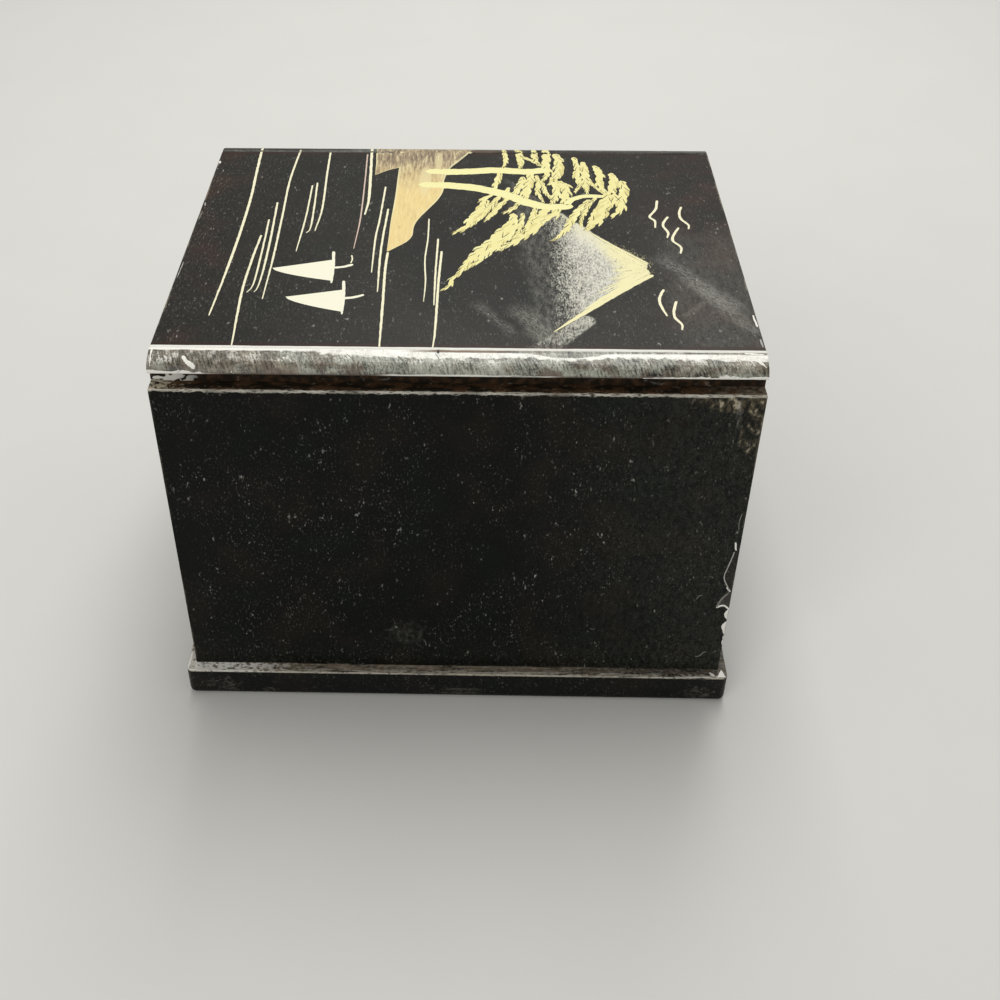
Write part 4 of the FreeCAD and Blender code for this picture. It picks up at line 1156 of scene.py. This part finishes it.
def housing_filler(side, material):
    """Lacquered filler in the end of the shelf's housing, at the back edge of a side board."""
    low, high = extent("divider")
    clear, deep = 0.02, 0.8
    inner, outer = extent("back_panel")[1].x + clear, high.x - clear
    bottom, top = low.z + clear, high.z - clear
    columns, rows = 8, 16
    vertices = []
    for depth in (deep, 0.0):
        for row in range(rows + 1):
            for column in range(columns + 1):
                x = inner + (outer - inner) * column / columns
                z = bottom + (top - bottom) * row / rows
                rim = min(x - inner, outer - x, z - bottom, top - z)
                waver = noise.noise(Vector((x * 1.3, side * 5.0, z * 0.9)))
                sunk = 0.10 + 0.10 * waver - 0.06 * min(1.0, rim / 0.5)
                vertices.append((side * x, BACK_END - sunk - depth, z))
    width = columns + 1
    plate = (rows + 1) * width
    faces = grid_faces(columns, rows, plate)
    faces += [(one, four, three, two) for one, two, three, four in grid_faces(columns, rows)]
    around = [*range(columns), *range(columns, plate - 1, width),
              *range(plate - 1, rows * width, -1), *range(rows * width, 0, -width)]
    for first, second in zip(around, around[1:] + around[:1]):
        faces.append((first, second, plate + second, plate + first))
    if side > 0:
        faces = [face[::-1] for face in faces]
    name = "housing_filler_right" if side > 0 else "housing_filler_left"
    mesh = make_mesh(name, vertices, faces, material, smooth=False)
    add_piece(name, mesh, "case")


def felt_lining(drawer, material):
    """Felt cut to the drawer's inside and laid on its bottom: rounded, slightly uneven."""
    low, high = extent(f"{drawer}_drawer_lining")
    columns, rows = 70, 88
    edge = 0.7
    vertices = []
    for row in range(rows + 1):
        for column in range(columns + 1):
            x = low.x + (high.x - low.x) * column / columns
            y = low.y + (high.y - low.y) * row / rows
            ease = min(1.0, min(x - low.x, high.x - x, y - low.y, high.y - y) / edge)
            swell, pile = (noise.noise(Vector((x * pace, y * pace, low.z))) * 0.5 + 0.5
                           for pace in (0.11, 1.7))
            thick = (high.z - low.z) * (0.62 + 0.22 * swell + 0.14 * pile)
            vertices.append((x, y, low.z + thick * (0.45 + 0.55 * ease)))
    name = f"{drawer}_felt"
    mesh = make_mesh(name, vertices, grid_faces(columns, rows), material)
    felt = add_piece(name, mesh, f"{drawer}_drawer")
    solid = felt.modifiers.new("thickness", "SOLIDIFY")
    solid.thickness = 0.3 * MM
    solid.offset = -1
    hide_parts(f"{drawer}_drawer_lining")


def drawer_gilding(drawer, material):
    """Plain gold brush lines on a drawer front: a border of two lines broken at the corners."""
    low, high = extent(f"{drawer}_drawer_front")

    def canvas(across, up, lift):
        return Vector((across, low.y - lift, up))

    painting = Painting(canvas)
    inset, gap, width = 4.0, 2.5, 0.6
    left, right = low.x + inset, high.x - inset
    bottom, top = low.z + inset, high.z - inset
    lines = [((left + gap, level), (0, level + 0.15), (right - gap, level))
             for level in (bottom, top)]
    lines += [((place, bottom + gap), (place + 0.1, (bottom + top) / 2), (place, top - gap))
              for place in (left, right)]
    for line in lines:
        painting.stroke(line, width, TRUNK_GOLD)
    painting.piece(f"{drawer}_front_lines", material, f"{drawer}_drawer")


def soften_edges():
    """Slightly rounded arrises on every lacquered and stained board."""
    boards = ["top_board", "side_left", "side_right", "back_panel", "divider"]
    for drawer in DRAWERS:
        boards += [f"{drawer}_drawer_{part}"
                   for part in ("front", "side_left", "side_right", "back")]
    for board in boards:
        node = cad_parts[board]
        weld = node.modifiers.new("joined corners", "WELD")
        weld.merge_threshold = 0.001 * MM
        bevel = node.modifiers.new("soft arrises", "BEVEL")
        bevel.width = 0.22 * MM
        bevel.segments = 3
        bevel.limit_method = "ANGLE"
        bevel.angle_limit = math.radians(40)


def finish_nodes():
    """Give every CAD node its material."""
    sides = side_material()
    wood = stained_wood_material()
    brass = brass_material()
    steel = steel_material()
    finishes = {
        "top_board": top_board_material(),
        "roll_left": roll_material("lacquer_left_moulding", 0.12),
        "roll_right": roll_material("lacquer_moulding", 0.40),
        "side_left": sides,
        "side_right": sides,
        "back_panel": lacquered_board("lacquer_back", "back_panel", 200),
        "divider": lacquered_board("lacquer_divider", "divider", 210),
        "base_board": base_material(),
        "base_brads": steel,
    }
    for index, drawer in enumerate(DRAWERS):
        front = f"{drawer}_drawer_front"
        finishes[front] = lacquered_board(f"lacquer_{drawer}_front", front, 220 + 12 * index,
                                          grain=(6, 1, 1))
        for part in ("side_left", "side_right", "back", "bottom"):
            finishes[f"{drawer}_drawer_{part}"] = wood
        for part, metal in (("knob", brass), ("knob_plate", brass), ("knob_screw", steel)):
            finishes[f"{drawer}_{part}"] = metal
    for node, material in finishes.items():
        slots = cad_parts[node].data.materials
        slots.clear()
        slots.append(material)


def make_camera():
    """The photograph's view: over the right-hand side, which faces the camera."""
    camera = put("camera", bpy.data.cameras.new("camera"))
    camera.data.sensor_width = 36.0
    camera.data.lens = LENS
    camera.data.shift_x = LENS_SHIFT
    camera.data.clip_start = 0.01
    camera.location = CAMERA_M
    pitch, yaw, roll = (math.radians(angle) for angle in CAMERA_ANGLES)
    level = math.cos(pitch)
    forward = Vector((-math.cos(yaw) * level, math.sin(yaw) * level, -math.sin(pitch)))
    camera.rotation_mode = "QUATERNION"
    camera.rotation_quaternion = forward.to_track_quat("-Z", "Y") @ Quaternion((0, 0, 1), -roll)
    bpy.context.scene.camera = camera


def soft_light(name, place_m, aim_m, size_m, power):
    light = bpy.data.lights.new(name, "AREA")
    light.shape = "RECTANGLE"
    light.size, light.size_y = size_m
    light.energy = power
    light.color = LAMP_COLOUR
    lamp = put(name, light)
    lamp.location = place_m
    lamp.rotation_mode = "QUATERNION"
    lamp.rotation_quaternion = (Vector(aim_m) - Vector(place_m)).to_track_quat("-Z", "Y")


def studio():
    """Plain pale floor, soft light from overhead and a pale surround."""
    coat = Coat("floor", FLOOR_DARK, 0.8)
    coat.layer(coat.noise(40, 300, 3), FLOOR_LIGHT)
    corners = [(x * FLOOR_HALF, y * FLOOR_HALF, 0) for x, y in ((-1, -1), (1, -1), (1, 1), (-1, 1))]
    material = coat.finish(specular=0.1)
    floor = put("floor", make_mesh("floor", corners, [(0, 1, 2, 3)], material, smooth=False))
    soft_light("overhead", place_m=(-0.38, 0.05, 0.90), aim_m=(0, 0, 0.09), size_m=(0.45, 0.9),
               power=6.5)
    soft_light("fill", place_m=(0.9, -0.5, 0.7), aim_m=(0, 0, 0.05), size_m=(0.7, 0.7), power=3.4)
    world = bpy.data.worlds.new("surround")
    world.use_nodes = True
    background = world.node_tree.nodes["Background"]
    background.inputs["Color"].default_value = (*SURROUND, 1.0)
    background.inputs["Strength"].default_value = SURROUND_STRENGTH
    bpy.context.scene.world = world


make_camera()
felt = felt_material()
for drawer in DRAWERS:
    felt_lining(drawer, felt)
finish_nodes()
for side in (-1, 1):
    housing_filler(side, bpy.data.materials["lacquer_back"])
painted_scene()
chips()
gilding = bpy.data.materials["gold_paint"]
for drawer in DRAWERS:
    drawer_gilding(drawer, gilding)
soften_edges()
studio()
bpy.context.scene.view_settings.view_transform = "Standard"
